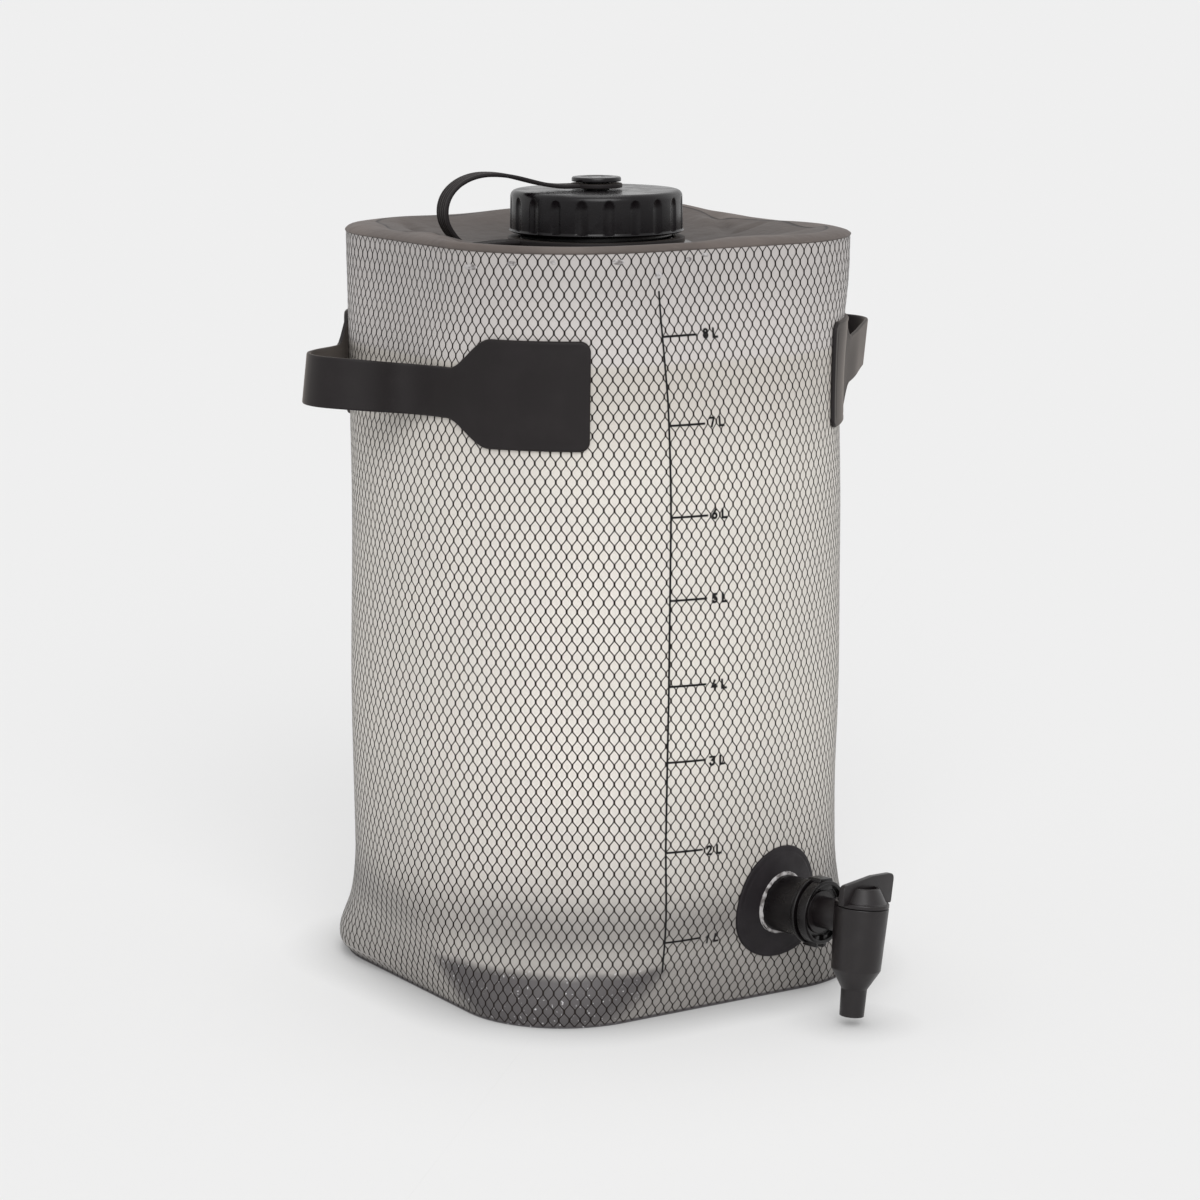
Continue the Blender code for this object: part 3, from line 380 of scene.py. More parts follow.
@dataclass(frozen=True)
class FilmFinish(Finish):
    """Milky film with a fine grain: cooler above the water, with painted shade towards the foot and under
    the rim, and the dark base painted in as seen through the water.
    """

    warm: Color = linear(231, 226, 218)
    damp: Color = linear(200, 194, 186)
    cool: Color = linear(211, 206, 203)
    # shaded: painted shade colour, for the foot, the rim and the base seen through the water
    shaded: Color = linear(56, 52, 57)
    speck: Color = linear(214, 212, 214)
    solidity: float = 0.88
    roughness: float = 0.46
    specular: float = 0.45
    grain: float = 1900.0
    grain_shade: Color = linear(150, 144, 138)
    water_line: float = 0.2565
    base_shade_top: float = 0.0215
    base_shade_narrowing: float = 16.0
    left_edge: Pair = (-0.092, -0.068)
    # painted shade over the foot: heights and shares of the shaded colour
    foot_shades: tuple[Pair, ...] = (
        (0.0, 0.66), (0.020, 0.58), (0.027, 0.46), (0.034, 0.66), (0.041, 0.62), (0.047, 0.47),
        (0.053, 0.32), (0.062, 0.21), (0.072, 0.15), (0.090, 0.07), (0.112, 0.0))

    def foot_shade(self, nodes: Nodes, height: Socket) -> Socket:
        """Makes the painted shade over the foot.

        Args:
            nodes: Nodes of the material.
            height: Height over the floor.

        Returns:
            Share of the shaded colour.
        """
        ramp = nodes.tree.nodes.new("ShaderNodeValToRGB")
        span = self.foot_shades[-1][0]
        ramp.color_ramp.interpolation = "B_SPLINE"
        elements = ramp.color_ramp.elements
        for index, (level, shade) in enumerate(self.foot_shades):
            element = elements[index] if index < 2 else elements.new(level / span)
            element.position = level / span
            element.color = (shade, shade, shade, 1.0)
        nodes.put(ramp.inputs[0], nodes.math(Sum.OVER, height, span))
        return ramp.outputs["Color"]

    def painted_base_shade(self, nodes: Nodes, height: Socket) -> Socket:
        """Finds the painted shade low on two corners of the wall, where the dark base panel would show
        through the water.

        Args:
            nodes: Nodes of the material.
            height: Height over the floor.

        Returns:
            Share of the painted shade.
        """
        x, y, z = nodes.axes()
        squares = nodes.math(Sum.ADD, nodes.math(Sum.TIMES, x, x), nodes.math(Sum.TIMES, y, y))
        twice = nodes.math(Sum.TIMES, nodes.math(Sum.TIMES, x, y), 2.0)
        narrowing = nodes.math(Sum.TIMES, nodes.math(Sum.LESS, self.base_shade_top, z), self.base_shade_narrowing)
        reach = nodes.math(Sum.LESS, nodes.math(Sum.OVER, twice, squares), narrowing)
        below = nodes.spread(height, self.base_shade_top - 0.0040, self.base_shade_top + 0.0045, 1.0, 0.0)
        return nodes.math(Sum.TIMES, below, nodes.spread(reach, 0.12, 0.66, 0.0, 0.92))

    def body(self, nodes: Nodes, wobble: Socket, grain: Socket) -> Socket:
        """Mixes the film's own colour, cooler above the water, with painted shade under the rim.

        Args:
            nodes: Nodes of the material.
            wobble: Slow waves of the water line.
            grain: Fine grain of the film.

        Returns:
            The colour.
        """
        z = nodes.axes()[2]
        dry = nodes.spread(nodes.math(Sum.ADD, z, nodes.math(Sum.TIMES, wobble, 0.15)),
                           self.water_line - 0.0012, self.water_line + 0.0016)
        upper = nodes.spread(z, 0.208, self.water_line, 0.0, 0.85)
        body = nodes.blend(dry, nodes.blend(upper, self.warm, self.damp), self.cool)
        # painted shade: the film darkens towards the rim, under the top panel
        body = nodes.blend(nodes.spread(z, self.water_line, 0.300, 0.0, 0.22), body, self.shaded)
        clouds = nodes.spread(nodes.noise(18.0, 1.0), 0.35, 0.65, 0.0, 0.10)
        body = nodes.blend(clouds, body, self.cool)
        return nodes.blend(nodes.spread(grain, 0.3, 0.7, 0.0, 0.12), body, self.grain_shade)

    def material(self, name: str) -> Material:
        """Builds the finish as a material.

        Args:
            name: Name of the material.

        Returns:
            The material.
        """
        nodes = Nodes(name, self.roughness, self.specular)
        nodes.plain({"Alpha": self.solidity, "Coat Weight": 0.10, "Coat Roughness": 0.3})
        x, _, z = nodes.axes()
        wobble = nodes.math(Sum.TIMES, nodes.math(Sum.LESS, nodes.noise(26.0), 0.5), 0.010)
        height = nodes.math(Sum.ADD, z, wobble)
        # painted shade: the dark base panel as seen through the water, put into the film's colour low on two
        # corners
        base_shade_share = self.painted_base_shade(nodes, height)
        # the painted foot shade grows weaker towards the left side
        left = nodes.spread(x, *self.left_edge, 0.78, 1.0)
        shade = nodes.math(Sum.LARGER, base_shade_share, nodes.math(Sum.TIMES, self.foot_shade(nodes, height), left))
        shade = nodes.math(Sum.LARGER, shade, nodes.spread(z, 0.0008, 0.0026, 0.95, 0.0))
        grain = nodes.noise(self.grain, 1.0)
        color = nodes.blend(shade, self.body(nodes, wobble, grain), self.shaded)
        # pale specks, scattered only inside the painted see-through shade of the base
        pale_specks = nodes.math(Sum.TIMES, nodes.spread(nodes.noise(880.0, 1.0), 0.70, 0.74), base_shade_share)
        color = nodes.blend(pale_specks, color, self.speck)
        fine = nodes.bump(grain, 0.00006, 0.35)
        return nodes.done(color, nodes.bump(nodes.noise(55.0, 1.0), 0.0006, 0.2, fine))


@dataclass(frozen=True)
class MouldedFinish(Finish):
    """Moulded plastic with a fine spark-eroded texture and faint wear."""

    color: Color
    worn: Color
    roughness: float = 0.42
    grain: float = 1400.0
    depth: float = 0.00003
    specular: float = 0.5

    def material(self, name: str) -> Material:
        """Builds the finish as a material.

        Args:
            name: Name of the material.

        Returns:
            The material.
        """
        nodes = Nodes(name, self.roughness, self.specular)
        grain = nodes.noise(self.grain, 2.0)
        clouds = nodes.spread(nodes.noise(90.0, 3.0), 0.4, 0.75)
        color = nodes.blend(clouds, self.color, self.worn)
        rough = nodes.spread(nodes.noise(160.0, 3.0), 0.3, 0.7, self.roughness - 0.05, self.roughness + 0.06)
        flow = nodes.bump(nodes.noise(60.0, 1.0), 0.0001, 0.3)
        return nodes.done(color, nodes.bump(grain, self.depth, 0.5, flow), rough)


@dataclass(frozen=True)
class CoatedFabricFinish(Finish):
    """Coated fabric: a faint woven ground under a matt coat, with pale scuffs, and painted shade on the
    panel's lower parts and inside its weld seam.
    """

    color: Color = linear(88, 80, 76)
    scuffed: Color = linear(106, 97, 92)
    # low: painted shade colour for the top panel's lower parts and inside its seam; the base panel, below
    # that range, takes it evenly
    low: Color = linear(54, 48, 45)
    roughness: float = 0.62
    specular: float = 0.4
    thread: float = 0.6 * MM
    seam: float = 0.0
    seam_and_shade_color: Color = linear(30, 26, 25)
    square: float = 32.3 * MM
    corner: float = 56.1 * MM
    wander: float = 4.5 * MM

    def from_rim(self, nodes: Nodes, x: Socket, y: Socket) -> Socket:
        """Measures in from the rim's outline, a square with round corners, with a slow wander.

        Args:
            nodes: Nodes of the material.
            x: First coordinate.
            y: Second coordinate.

        Returns:
            The distance.
        """
        squares = []
        for axis in (x, y):
            over = nodes.math(Sum.LESS, nodes.math(Sum.SIZE, axis), self.square)
            over = nodes.math(Sum.LARGER, over, 0.0)
            squares.append(nodes.math(Sum.TIMES, over, over))
        reach = nodes.math(Sum.ROOT, nodes.math(Sum.ADD, *squares))
        wander = nodes.spread(nodes.noise(17.0, 1.0), 0.3, 0.7, -self.wander, self.wander, smooth=False)
        return nodes.math(Sum.ADD, nodes.math(Sum.LESS, self.corner, reach), wander)

    def material(self, name: str) -> Material:
        """Builds the finish as a material.

        Args:
            name: Name of the material.

        Returns:
            The material.
        """
        nodes = Nodes(name, self.roughness, self.specular)
        x, y, z = nodes.axes()
        step = 2.0 * pi / self.thread
        warp = nodes.math(Sum.SINE, nodes.math(Sum.TIMES, x, step))
        weft = nodes.math(Sum.SINE, nodes.math(Sum.TIMES, y, step))
        weave = nodes.math(Sum.TIMES, warp, weft)
        clouds = nodes.spread(nodes.noise(26.0, 3.0), 0.38, 0.72)
        streaks = nodes.spread(nodes.noise(1.0, 4.0, nodes.stretched(220.0, 700.0)), 0.55, 0.8, 0.0, 0.5)
        color = nodes.blend(nodes.math(Sum.LARGER, clouds, streaks), self.color, self.scuffed)
        # painted shade: darker where the panel sinks below its rim; the base panel, lower still, is tinted
        # evenly
        color = nodes.blend(nodes.spread(z, 0.2955, 0.3003, 0.55, 0.0), color, self.low)
        creases = nodes.bump(nodes.noise(60.0, 3.0), 0.0034, 0.6)
        if self.seam:
            inset = self.from_rim(nodes, x, y)
            inner = nodes.spread(inset, self.seam - 0.0004, self.seam + 0.0004)
            # painted shade: the panel inside the weld seam is darkened
            color = nodes.blend(nodes.math(Sum.TIMES, inner, 0.40), color, self.low)
            # dark line just inside the weld seam: a real seam, its darkness painted shade
            past = nodes.spread(inset, self.seam + 0.0006, self.seam + 0.0018, 1.0, 0.0)
            line = nodes.math(Sum.TIMES, nodes.math(Sum.TIMES, inner, past), 0.85)
            color = nodes.blend(line, color, self.seam_and_shade_color)
            creases = nodes.bump(inner, -0.0005, 1.0, creases)
        grain = nodes.bump(nodes.noise(2400.0, 2.0), 0.00003, 0.6, creases)
        woven = nodes.bump(weave, 0.000012, 0.5, grain)
        return nodes.done(color, woven)


@dataclass(frozen=True)
class RibbedRubberFinish(Finish):
    """Flexible matt plastic with fine mould marks along it."""

    color: Color = linear(24, 20, 21)
    worn: Color = linear(29, 25, 26)
    roughness: float = 0.6
    specular: float = 0.25
    bloom: float = 0.26
    bloom_color: Color = linear(226, 212, 200)

    def material(self, name: str) -> Material:
        """Builds the finish as a material.

        Args:
            name: Name of the material.

        Returns:
            The material.
        """
        nodes = Nodes(name, self.roughness, self.specular)
        nodes.plain({"Sheen Weight": self.bloom, "Sheen Roughness": 0.35,
                     "Sheen Tint": (*self.bloom_color, 1.0)})
        clouds = nodes.spread(nodes.noise(70.0, 3.0), 0.4, 0.75)
        pale_specks = nodes.spread(nodes.noise(900.0, 3.0), 0.62, 0.8, 0.0, 0.35)
        color = nodes.blend(nodes.math(Sum.LARGER, clouds, pale_specks), self.color, self.worn)
        lines = nodes.bump(nodes.noise(1.0, 2.0, nodes.stretched(120.0, 2600.0)), 0.00003, 0.3)
        return nodes.done(color, nodes.bump(nodes.noise(2600.0, 2.0), 0.00003, 0.5, lines))


@dataclass(frozen=True)
class InkFinish(Finish):
    """Printed ink with a slightly broken edge."""

    color: Color = linear(9, 8, 8)
    thin: Color = linear(30, 27, 27)
    roughness: float = 0.6
    specular: float = 0.3

    def material(self, name: str) -> Material:
        """Builds the finish as a material.

        Args:
            name: Name of the material.

        Returns:
            The material.
        """
        nodes = Nodes(name, self.roughness, self.specular)
        color = nodes.blend(nodes.spread(nodes.noise(1500.0), 0.5, 0.75), self.color, self.thin)
        return nodes.done(color, nodes.bump(nodes.noise(1800.0), 0.00002, 0.4))


@dataclass(frozen=True)
class ClearBeadFinish(Finish):
    """Cloudy clear weld or drop of glue."""

    color: Color = linear(206, 203, 203)
    dull: Color = linear(118, 113, 112)
    solidity: float = 0.7
    roughness: float = 0.22

    def material(self, name: str) -> Material:
        """Builds the finish as a material.

        Args:
            name: Name of the material.

        Returns:
            The material.
        """
        nodes = Nodes(name, self.roughness)
        color = nodes.blend(nodes.spread(nodes.noise(420.0, 3.0), 0.35, 0.62), self.dull, self.color)
        nodes.plain({"Alpha": self.solidity})
        return nodes.done(color, nodes.bump(nodes.noise(700.0, 2.0), 0.0002, 0.7))


NET_FINISH = MouldedFinish(linear(26, 19, 17), linear(34, 27, 24), 0.6, 2400.0, specular=0.2)
CAP_FINISH = MouldedFinish(linear(8, 5, 8), linear(14, 10, 13), 0.27, specular=0.32)
NECK_FINISH = MouldedFinish(linear(16, 15, 16), linear(22, 20, 21), 0.2)
TAP_FINISH = MouldedFinish(linear(24, 20, 21), linear(31, 27, 28), 0.36, specular=0.4)
PORT_FINISH = MouldedFinish(linear(12, 9, 10), linear(17, 14, 15), 0.30, specular=0.34)
PATCH_FINISH = MouldedFinish(linear(25, 21, 24), linear(33, 29, 32), 0.6, 1900.0, 0.00005, 0.25)
SEAL_FINISH = MouldedFinish(linear(188, 188, 184), linear(176, 176, 172), 0.6, 900.0)
PLUG_FINISH = MouldedFinish(linear(206, 206, 202), linear(196, 196, 192), 0.4)


def grid_mesh(name: str, grid: np.ndarray, close_rows: bool = False, close_columns: bool = False,
              caps: bool = False) -> Mesh:
    """Makes a mesh from a grid of points.

    Args:
        name: Name of the mesh.
        grid: Points as an array of rows, columns and 3.
        close_rows: Joins the last row to the first.
        close_columns: Joins the last column to the first.
        caps: Closes the first and the last row with a face each.

    Returns:
        The mesh, with its faces pointing out.
    """
    rows, columns = grid.shape[:2]
    number = np.arange(rows * columns).reshape(rows, columns)
    if close_rows:
        number = np.vstack([number, number[:1]])
    if close_columns:
        number = np.hstack([number, number[:, :1]])
    quads = np.stack(
        [number[:-1, :-1], number[:-1, 1:], number[1:, 1:], number[1:, :-1]], axis=-1).reshape(-1, 4)
    faces = quads.tolist()
    if caps:
        faces.append(list(range(columns)))
        faces.append(list(range((rows - 1) * columns, rows * columns)))
    mesh = bpy.data.meshes.new(name)
    mesh.from_pydata(grid.reshape(-1, 3).tolist(), [], faces)
    bm = bmesh.new()
    bm.from_mesh(mesh)
    bmesh.ops.remove_doubles(bm, verts=bm.verts, dist=0.000001)
    bmesh.ops.recalc_face_normals(bm, faces=bm.faces)
    bm.to_mesh(mesh)
    bm.free()
    return mesh


def revolve(name: str, profile: Profile, segments: int = 96,
            shape: Turned | None = None) -> Mesh:
    """Turns a closed profile round +Z.

    Args:
        name: Name of the mesh.
        profile: Points as radius and height, all round the section.
        segments: Steps round the turn.
        shape: Changes a point from its angle, radius and height to a new radius and height.

    Returns:
        The closed mesh.
    """
    closed = profile[0][0] > 1e-6 or profile[-1][0] > 1e-6
    grid = np.zeros((len(profile), segments, 3))
    for row, (radius, height) in enumerate(profile):
        for column in range(segments):
            angle = 2.0 * pi * column / segments
            reach, level = shape(angle, radius, height) if shape else (radius, height)
            grid[row, column] = (reach * cos(angle), reach * sin(angle), level)
    return grid_mesh(name, grid, close_rows=closed, close_columns=True)


def rounded(points: Profile, radii: Sequence[float], steps: int = 4, closed: bool = True) -> Profile:
    """Rounds the corners of an outline.

    Args:
        points: Corners in order.
        radii: Rounding at each corner.
        steps: Steps in each rounding.
        closed: Whether the outline runs back to its start.

    Returns:
        The outline with its corners rounded.
    """
    result = []
    count = len(points)
    for index, (point, radius) in enumerate(zip(points, radii)):
        at_end = not closed and index in (0, count - 1)
        if radius <= 0.0 or at_end:
            result.append(point)
            continue
        here = Vector(point)
        before = Vector(points[index - 1]) - here
        after = Vector(points[(index + 1) % count]) - here
        bend = before.angle(after, pi)
        reach = min(radius / max(tan(bend / 2.0), 1e-3), before.length * 0.49, after.length * 0.49)
        start = here + before.normalized() * reach
        end = here + after.normalized() * reach
        for step in range(steps + 1):
            t = step / steps
            place = start * (1 - t) ** 2 + here * 2 * t * (1 - t) + end * t * t
            result.append((place.x, place.y))
    return result


def extrude(name: str, outline: Profile, thickness: float, bevel: float = 0.0) -> Mesh:
    """Pushes an XZ outline along Y, half to each side, with its rims bevelled.

    Args:
        name: Name of the mesh.
        outline: Points in X and Z.
        thickness: Length along Y.
        bevel: Width of the bevel on both rims.

    Returns:
        The closed mesh.
    """
    bm = bmesh.new()
    rows = []
    for side in (-0.5, 0.5):
        rows.append([bm.verts.new((x, side * thickness, z)) for x, z in outline])
    count = len(outline)
    for index in range(count):
        after = (index + 1) % count
        bm.faces.new((rows[0][index], rows[0][after], rows[1][after], rows[1][index]))
    ends = [bm.faces.new(rows[0]), bm.faces.new(list(reversed(rows[1])))]
    bmesh.ops.recalc_face_normals(bm, faces=bm.faces)
    if bevel:
        rims = list({edge for face in ends for edge in face.edges})
        bmesh.ops.bevel(bm, geom=rims, offset=bevel, segments=3, profile=0.5, affect="EDGES")
    mesh = bpy.data.meshes.new(name)
    bm.to_mesh(mesh)
    bm.free()
    return mesh


def merged(name: str, meshes: Sequence[Mesh]) -> Mesh:
    """Puts several meshes into one without joining their surfaces.

    Args:
        name: Name of the new mesh.
        meshes: The meshes.

    Returns:
        The new mesh.
    """
    bm = bmesh.new()
    for mesh in meshes:
        bm.from_mesh(mesh)
    result = bpy.data.meshes.new(name)
    bm.to_mesh(result)
    bm.free()
    return result


def combined(first: Mesh, second: Mesh, join: Join = Join.ADD) -> Mesh:
    """Joins or cuts two closed meshes.

    Args:
        first: Mesh that is kept.
        second: Mesh that is added or taken away.
        join: Whether it is added or taken away.

    Returns:
        The resulting mesh.
    """
    keeper, tool = hung("keeper", first), hung("tool", second)
    modifier = keeper.modifiers.new("join", "BOOLEAN")
    modifier.operation = join.value
    modifier.solver = "EXACT"
    modifier.object = tool
    graph = bpy.context.evaluated_depsgraph_get()
    result = bpy.data.meshes.new_from_object(keeper.evaluated_get(graph))
    for item in (keeper, tool):
        bpy.data.objects.remove(item, do_unlink=True)
    result.name = first.name
    return result


def moved(mesh: Mesh, matrix: Matrix) -> Mesh:
    """Moves a mesh's points by a matrix."""
    mesh.transform(matrix)
    return mesh


def place(mesh: Mesh, name: str, finish: Finish, slot: Slot, replaces: Sequence[str] = (),
          body: Body | None = Body.ROOT, crease: float = 32.0) -> Object:
    """Adds a piece to the scene in its finish.

    Args:
        mesh: Mesh in the frame's own axes.
        name: Name of the piece.
        finish: Finish of its surface.
        slot: The record's material slot that the finish stands for; not used.
        replaces: CAD nodes that the piece stands for.
        body: Body that it moves with, or None to leave it unattached.
        crease: Angle in degrees above which an edge stays sharp.

    Returns:
        The object.
    """
    mesh.name = name
    mesh.materials.clear()
    mesh.materials.append(finish.material(name))
    mesh.shade_smooth()
    mesh.set_sharp_from_angle(angle=radians(crease))
    item = hung(name, mesh)
    if replaces:
        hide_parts(*replaces)
    if body:
        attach(item, body.value)
    LOG.info("%s: %d faces", name, len(mesh.polygons))
    return item


@dataclass(frozen=True)
class Dent:
    """Soft dent or bulge of the wall round one place."""

    angle: float
    turn: float
    height: float
    reach: float
    out: float

    def shift(self, angle: float, height: float) -> float:
        """Moves the wall most in the dent's middle.

        Args:
            angle: Angle in plan from -Y towards +X.
            height: Height of the point.

        Returns:
            How far the wall moves out.
        """
        sideways = bell(turn_apart(angle, radians(self.angle)), self.turn)
        return self.out * sideways * bell(height - self.height, self.reach)


@dataclass(frozen=True)
class BagForm:
    """Form of the bag: round in the middle, a rounded square at the foot and at the rim."""

    radius: float = 98.9 * MM
    base_half: float = 87.2 * MM
    base_corner: float = 43.7 * MM
    rim_half: float = 88.4 * MM
    rim_corner: float = 56.1 * MM
    height: float = 298.0 * MM
    foot: float = 50.0 * MM
    shoulder: float = 103.0 * MM
    foot_bulge: float = 1.8 * MM
    foot_roll: float = 11.0 * MM
    foot_flat: float = 5.0 * MM
    held_foot: float = 12.0 * MM
    held_rim: float = 30.0 * MM
    ripples: Pair = (0.22 * MM, 0.18 * MM)
    band_ends: float = radians(7.0)
    band_slope: float = 16.0 * MM
    band_middle: float = radians(-38.5)
    band_reach: float = radians(36.5)
    band_rise: float = 1.7 * MM
    dents: tuple[Dent, ...] = (
        Dent(52.0, 0.20, 78.0 * MM, 30.0 * MM, -1.0 * MM),
        Dent(54.0, 0.36, 245.0 * MM, 33.0 * MM, -2.3 * MM),
        Dent(-118.0, 0.36, 115.0 * MM, 50.0 * MM, 1.2 * MM))
    left_foot: Dent = Dent(-118.0, 0.36, 7.0 * MM, 10.0 * MM, 2.6 * MM)

    def section(self, height: float) -> Pair:
        """Outer section of the bag.

        Args:
            height: Height of the section.

        Returns:
            Its half width and its corner radius.
        """
        if height < self.foot:
            half, corner, share = self.base_half, self.base_corner, ease(1.0 - height / self.foot)
        else:
            half, corner = self.rim_half, self.rim_corner
            share = ease((height - self.height + self.shoulder) / self.shoulder)
        return mix(self.radius, half, share), mix(self.radius, corner, share)

    def perimeter(self, height: float) -> float:
        """Length round the section at a height."""
        half, corner = self.section(height)
        return 8.0 * (half - corner) + 2.0 * pi * corner

    def walk(self, arc: float, half: float, corner: float) -> tuple[Vector, Vector]:
        """Point and outward normal at an arc length from the middle of the -Y side.

        Args:
            arc: Arc length towards +X.
            half: Half width of the section.
            corner: Corner radius of the section.

        Returns:
            The point and the normal in plan.
        """
        flat = half - corner
        quarter = 2.0 * flat + corner * pi / 2.0
        turns, rest = divmod(arc + quarter / 2.0, quarter)
        rest -= quarter / 2.0
        side = 1.0 if rest >= 0.0 else -1.0
        bend = max(abs(rest) - flat, 0.0) / corner
        across = side * (flat + corner * sin(bend)) if bend else rest
        turn = Matrix.Rotation(turns * pi / 2.0, 2)
        point = turn @ Vector((across, -flat - corner * cos(bend)))
        return point, turn @ Vector((side * sin(bend), -cos(bend)))

    def swell(self, angle: float, height: float) -> float:
        """How far the film stands out of its even form: soft dents and a bulge over the foot.

        Args:
            angle: Angle in plan from -Y towards +X.
            height: Height of the point.

        Returns:
            The distance along the normal.
        """
        held = ease(height / self.held_foot) * ease((self.height - height) / self.held_rim)
        slow, quick = self.ripples
        waves = slow * sin(3.0 * angle + 23.0 * height + 0.6) * sin(31.0 * height + 1.1)
        waves += quick * sin(7.0 * angle - 41.0 * height)
        dents = sum(dent.shift(angle, height) for dent in self.dents)
        roll = self.foot_bulge * bell(height - self.foot_roll, self.foot_roll)
        roll += self.left_foot.shift(angle, height)
        return held * (waves + dents) + roll * ease(height / self.foot_flat)

    def band(self, angle: float) -> float:
        """1 where the welded band stands up at the front, 0 where the edge is a soft hump."""
        inside = self.band_reach + self.band_ends - turn_apart(angle, self.band_middle)
        return ease(inside / (2.0 * self.band_ends))

    def raised(self, point: Vector) -> Vector:
        """Point of the wall with the film drawn up behind the welded band."""
        rise = self.band_rise * ease((point.z - self.height + self.band_slope) / self.band_slope)
        return Vector((point.x, point.y, point.z + rise))

    def ring(self, columns: int, height: float, offset: float = 0.0, even: bool = False) -> list[Vector]:
        """Points all round the film.

        Args:
            columns: Number of points.
            height: Height of the ring.
            offset: Distance out from the film's outer face.
            even: Leaves out the dents and bulges.

        Returns:
            The points.
        """
        return [self.point(column / columns, height, offset, even) for column in range(columns)]

    def point(self, share: float, height: float, offset: float = 0.0, even: bool = False) -> Vector:
        """Point that stands off the film, by its share of the way round.

        Args:
            share: Share of the perimeter from the middle of the -Y side towards +X.
            height: Height of the point.
            offset: Distance out from the film's outer face.
            even: Leaves out the dents and bulges.

        Returns:
            The point.
        """
        half, corner = self.section(height)
        point, normal = self.walk(share * self.perimeter(height), half, corner)
        out = offset if even else offset + self.swell(atan2(point.x, -point.y), height)
        place_at = point + normal * out
        return Vector((place_at.x, place_at.y, height))

    def share(self, arc: float, height: float) -> float:
        """Share of the way round for an arc length at a height."""
        return arc / self.perimeter(height)


FORM = BagForm()


# strokes of the gauge's signs: corners as shares of the sign's height
GLYPHS: dict[str, tuple[tuple[Pair, ...], ...]] = {
    "1": (((0.12, 0.76), (0.32, 1.0), (0.32, 0.0)),),
    "2": (((0.0, 0.78), (0.08, 0.94), (0.28, 1.0), (0.48, 0.93), (0.55, 0.75), (0.46, 0.54), (0.0, 0.0),
           (0.58, 0.0)),),
    "3": (((0.0, 1.0), (0.54, 1.0), (0.26, 0.62), (0.47, 0.54), (0.56, 0.32), (0.48, 0.08), (0.27, 0.0),
           (0.07, 0.05), (0.0, 0.2)),),
    "4": (((0.62, 0.26), (0.0, 0.26), (0.34, 1.0)), ((0.42, 0.5), (0.42, 0.0))),
    "5": (((0.52, 1.0), (0.08, 1.0), (0.04, 0.56), (0.28, 0.64), (0.48, 0.55), (0.56, 0.32), (0.48, 0.08),
           (0.27, 0.0), (0.07, 0.05), (0.0, 0.18)),),
    "6": (((0.42, 1.0), (0.08, 0.5), (0.0, 0.3), (0.08, 0.07), (0.28, 0.0), (0.48, 0.07), (0.56, 0.3),
           (0.48, 0.53), (0.28, 0.6), (0.08, 0.5)),),
    "7": (((0.0, 1.0), (0.56, 1.0), (0.2, 0.0)),),
    "8": (((0.28, 0.55), (0.46, 0.64), (0.52, 0.79), (0.45, 0.94), (0.28, 1.0), (0.11, 0.94), (0.04, 0.79),
           (0.1, 0.64), (0.28, 0.55), (0.48, 0.46), (0.56, 0.28), (0.48, 0.07), (0.28, 0.0), (0.08, 0.07),
           (0.0, 0.28), (0.08, 0.46), (0.28, 0.55)),),
    "L": (((0.0, 1.0), (0.0, 0.0), (0.54, 0.0)),)}


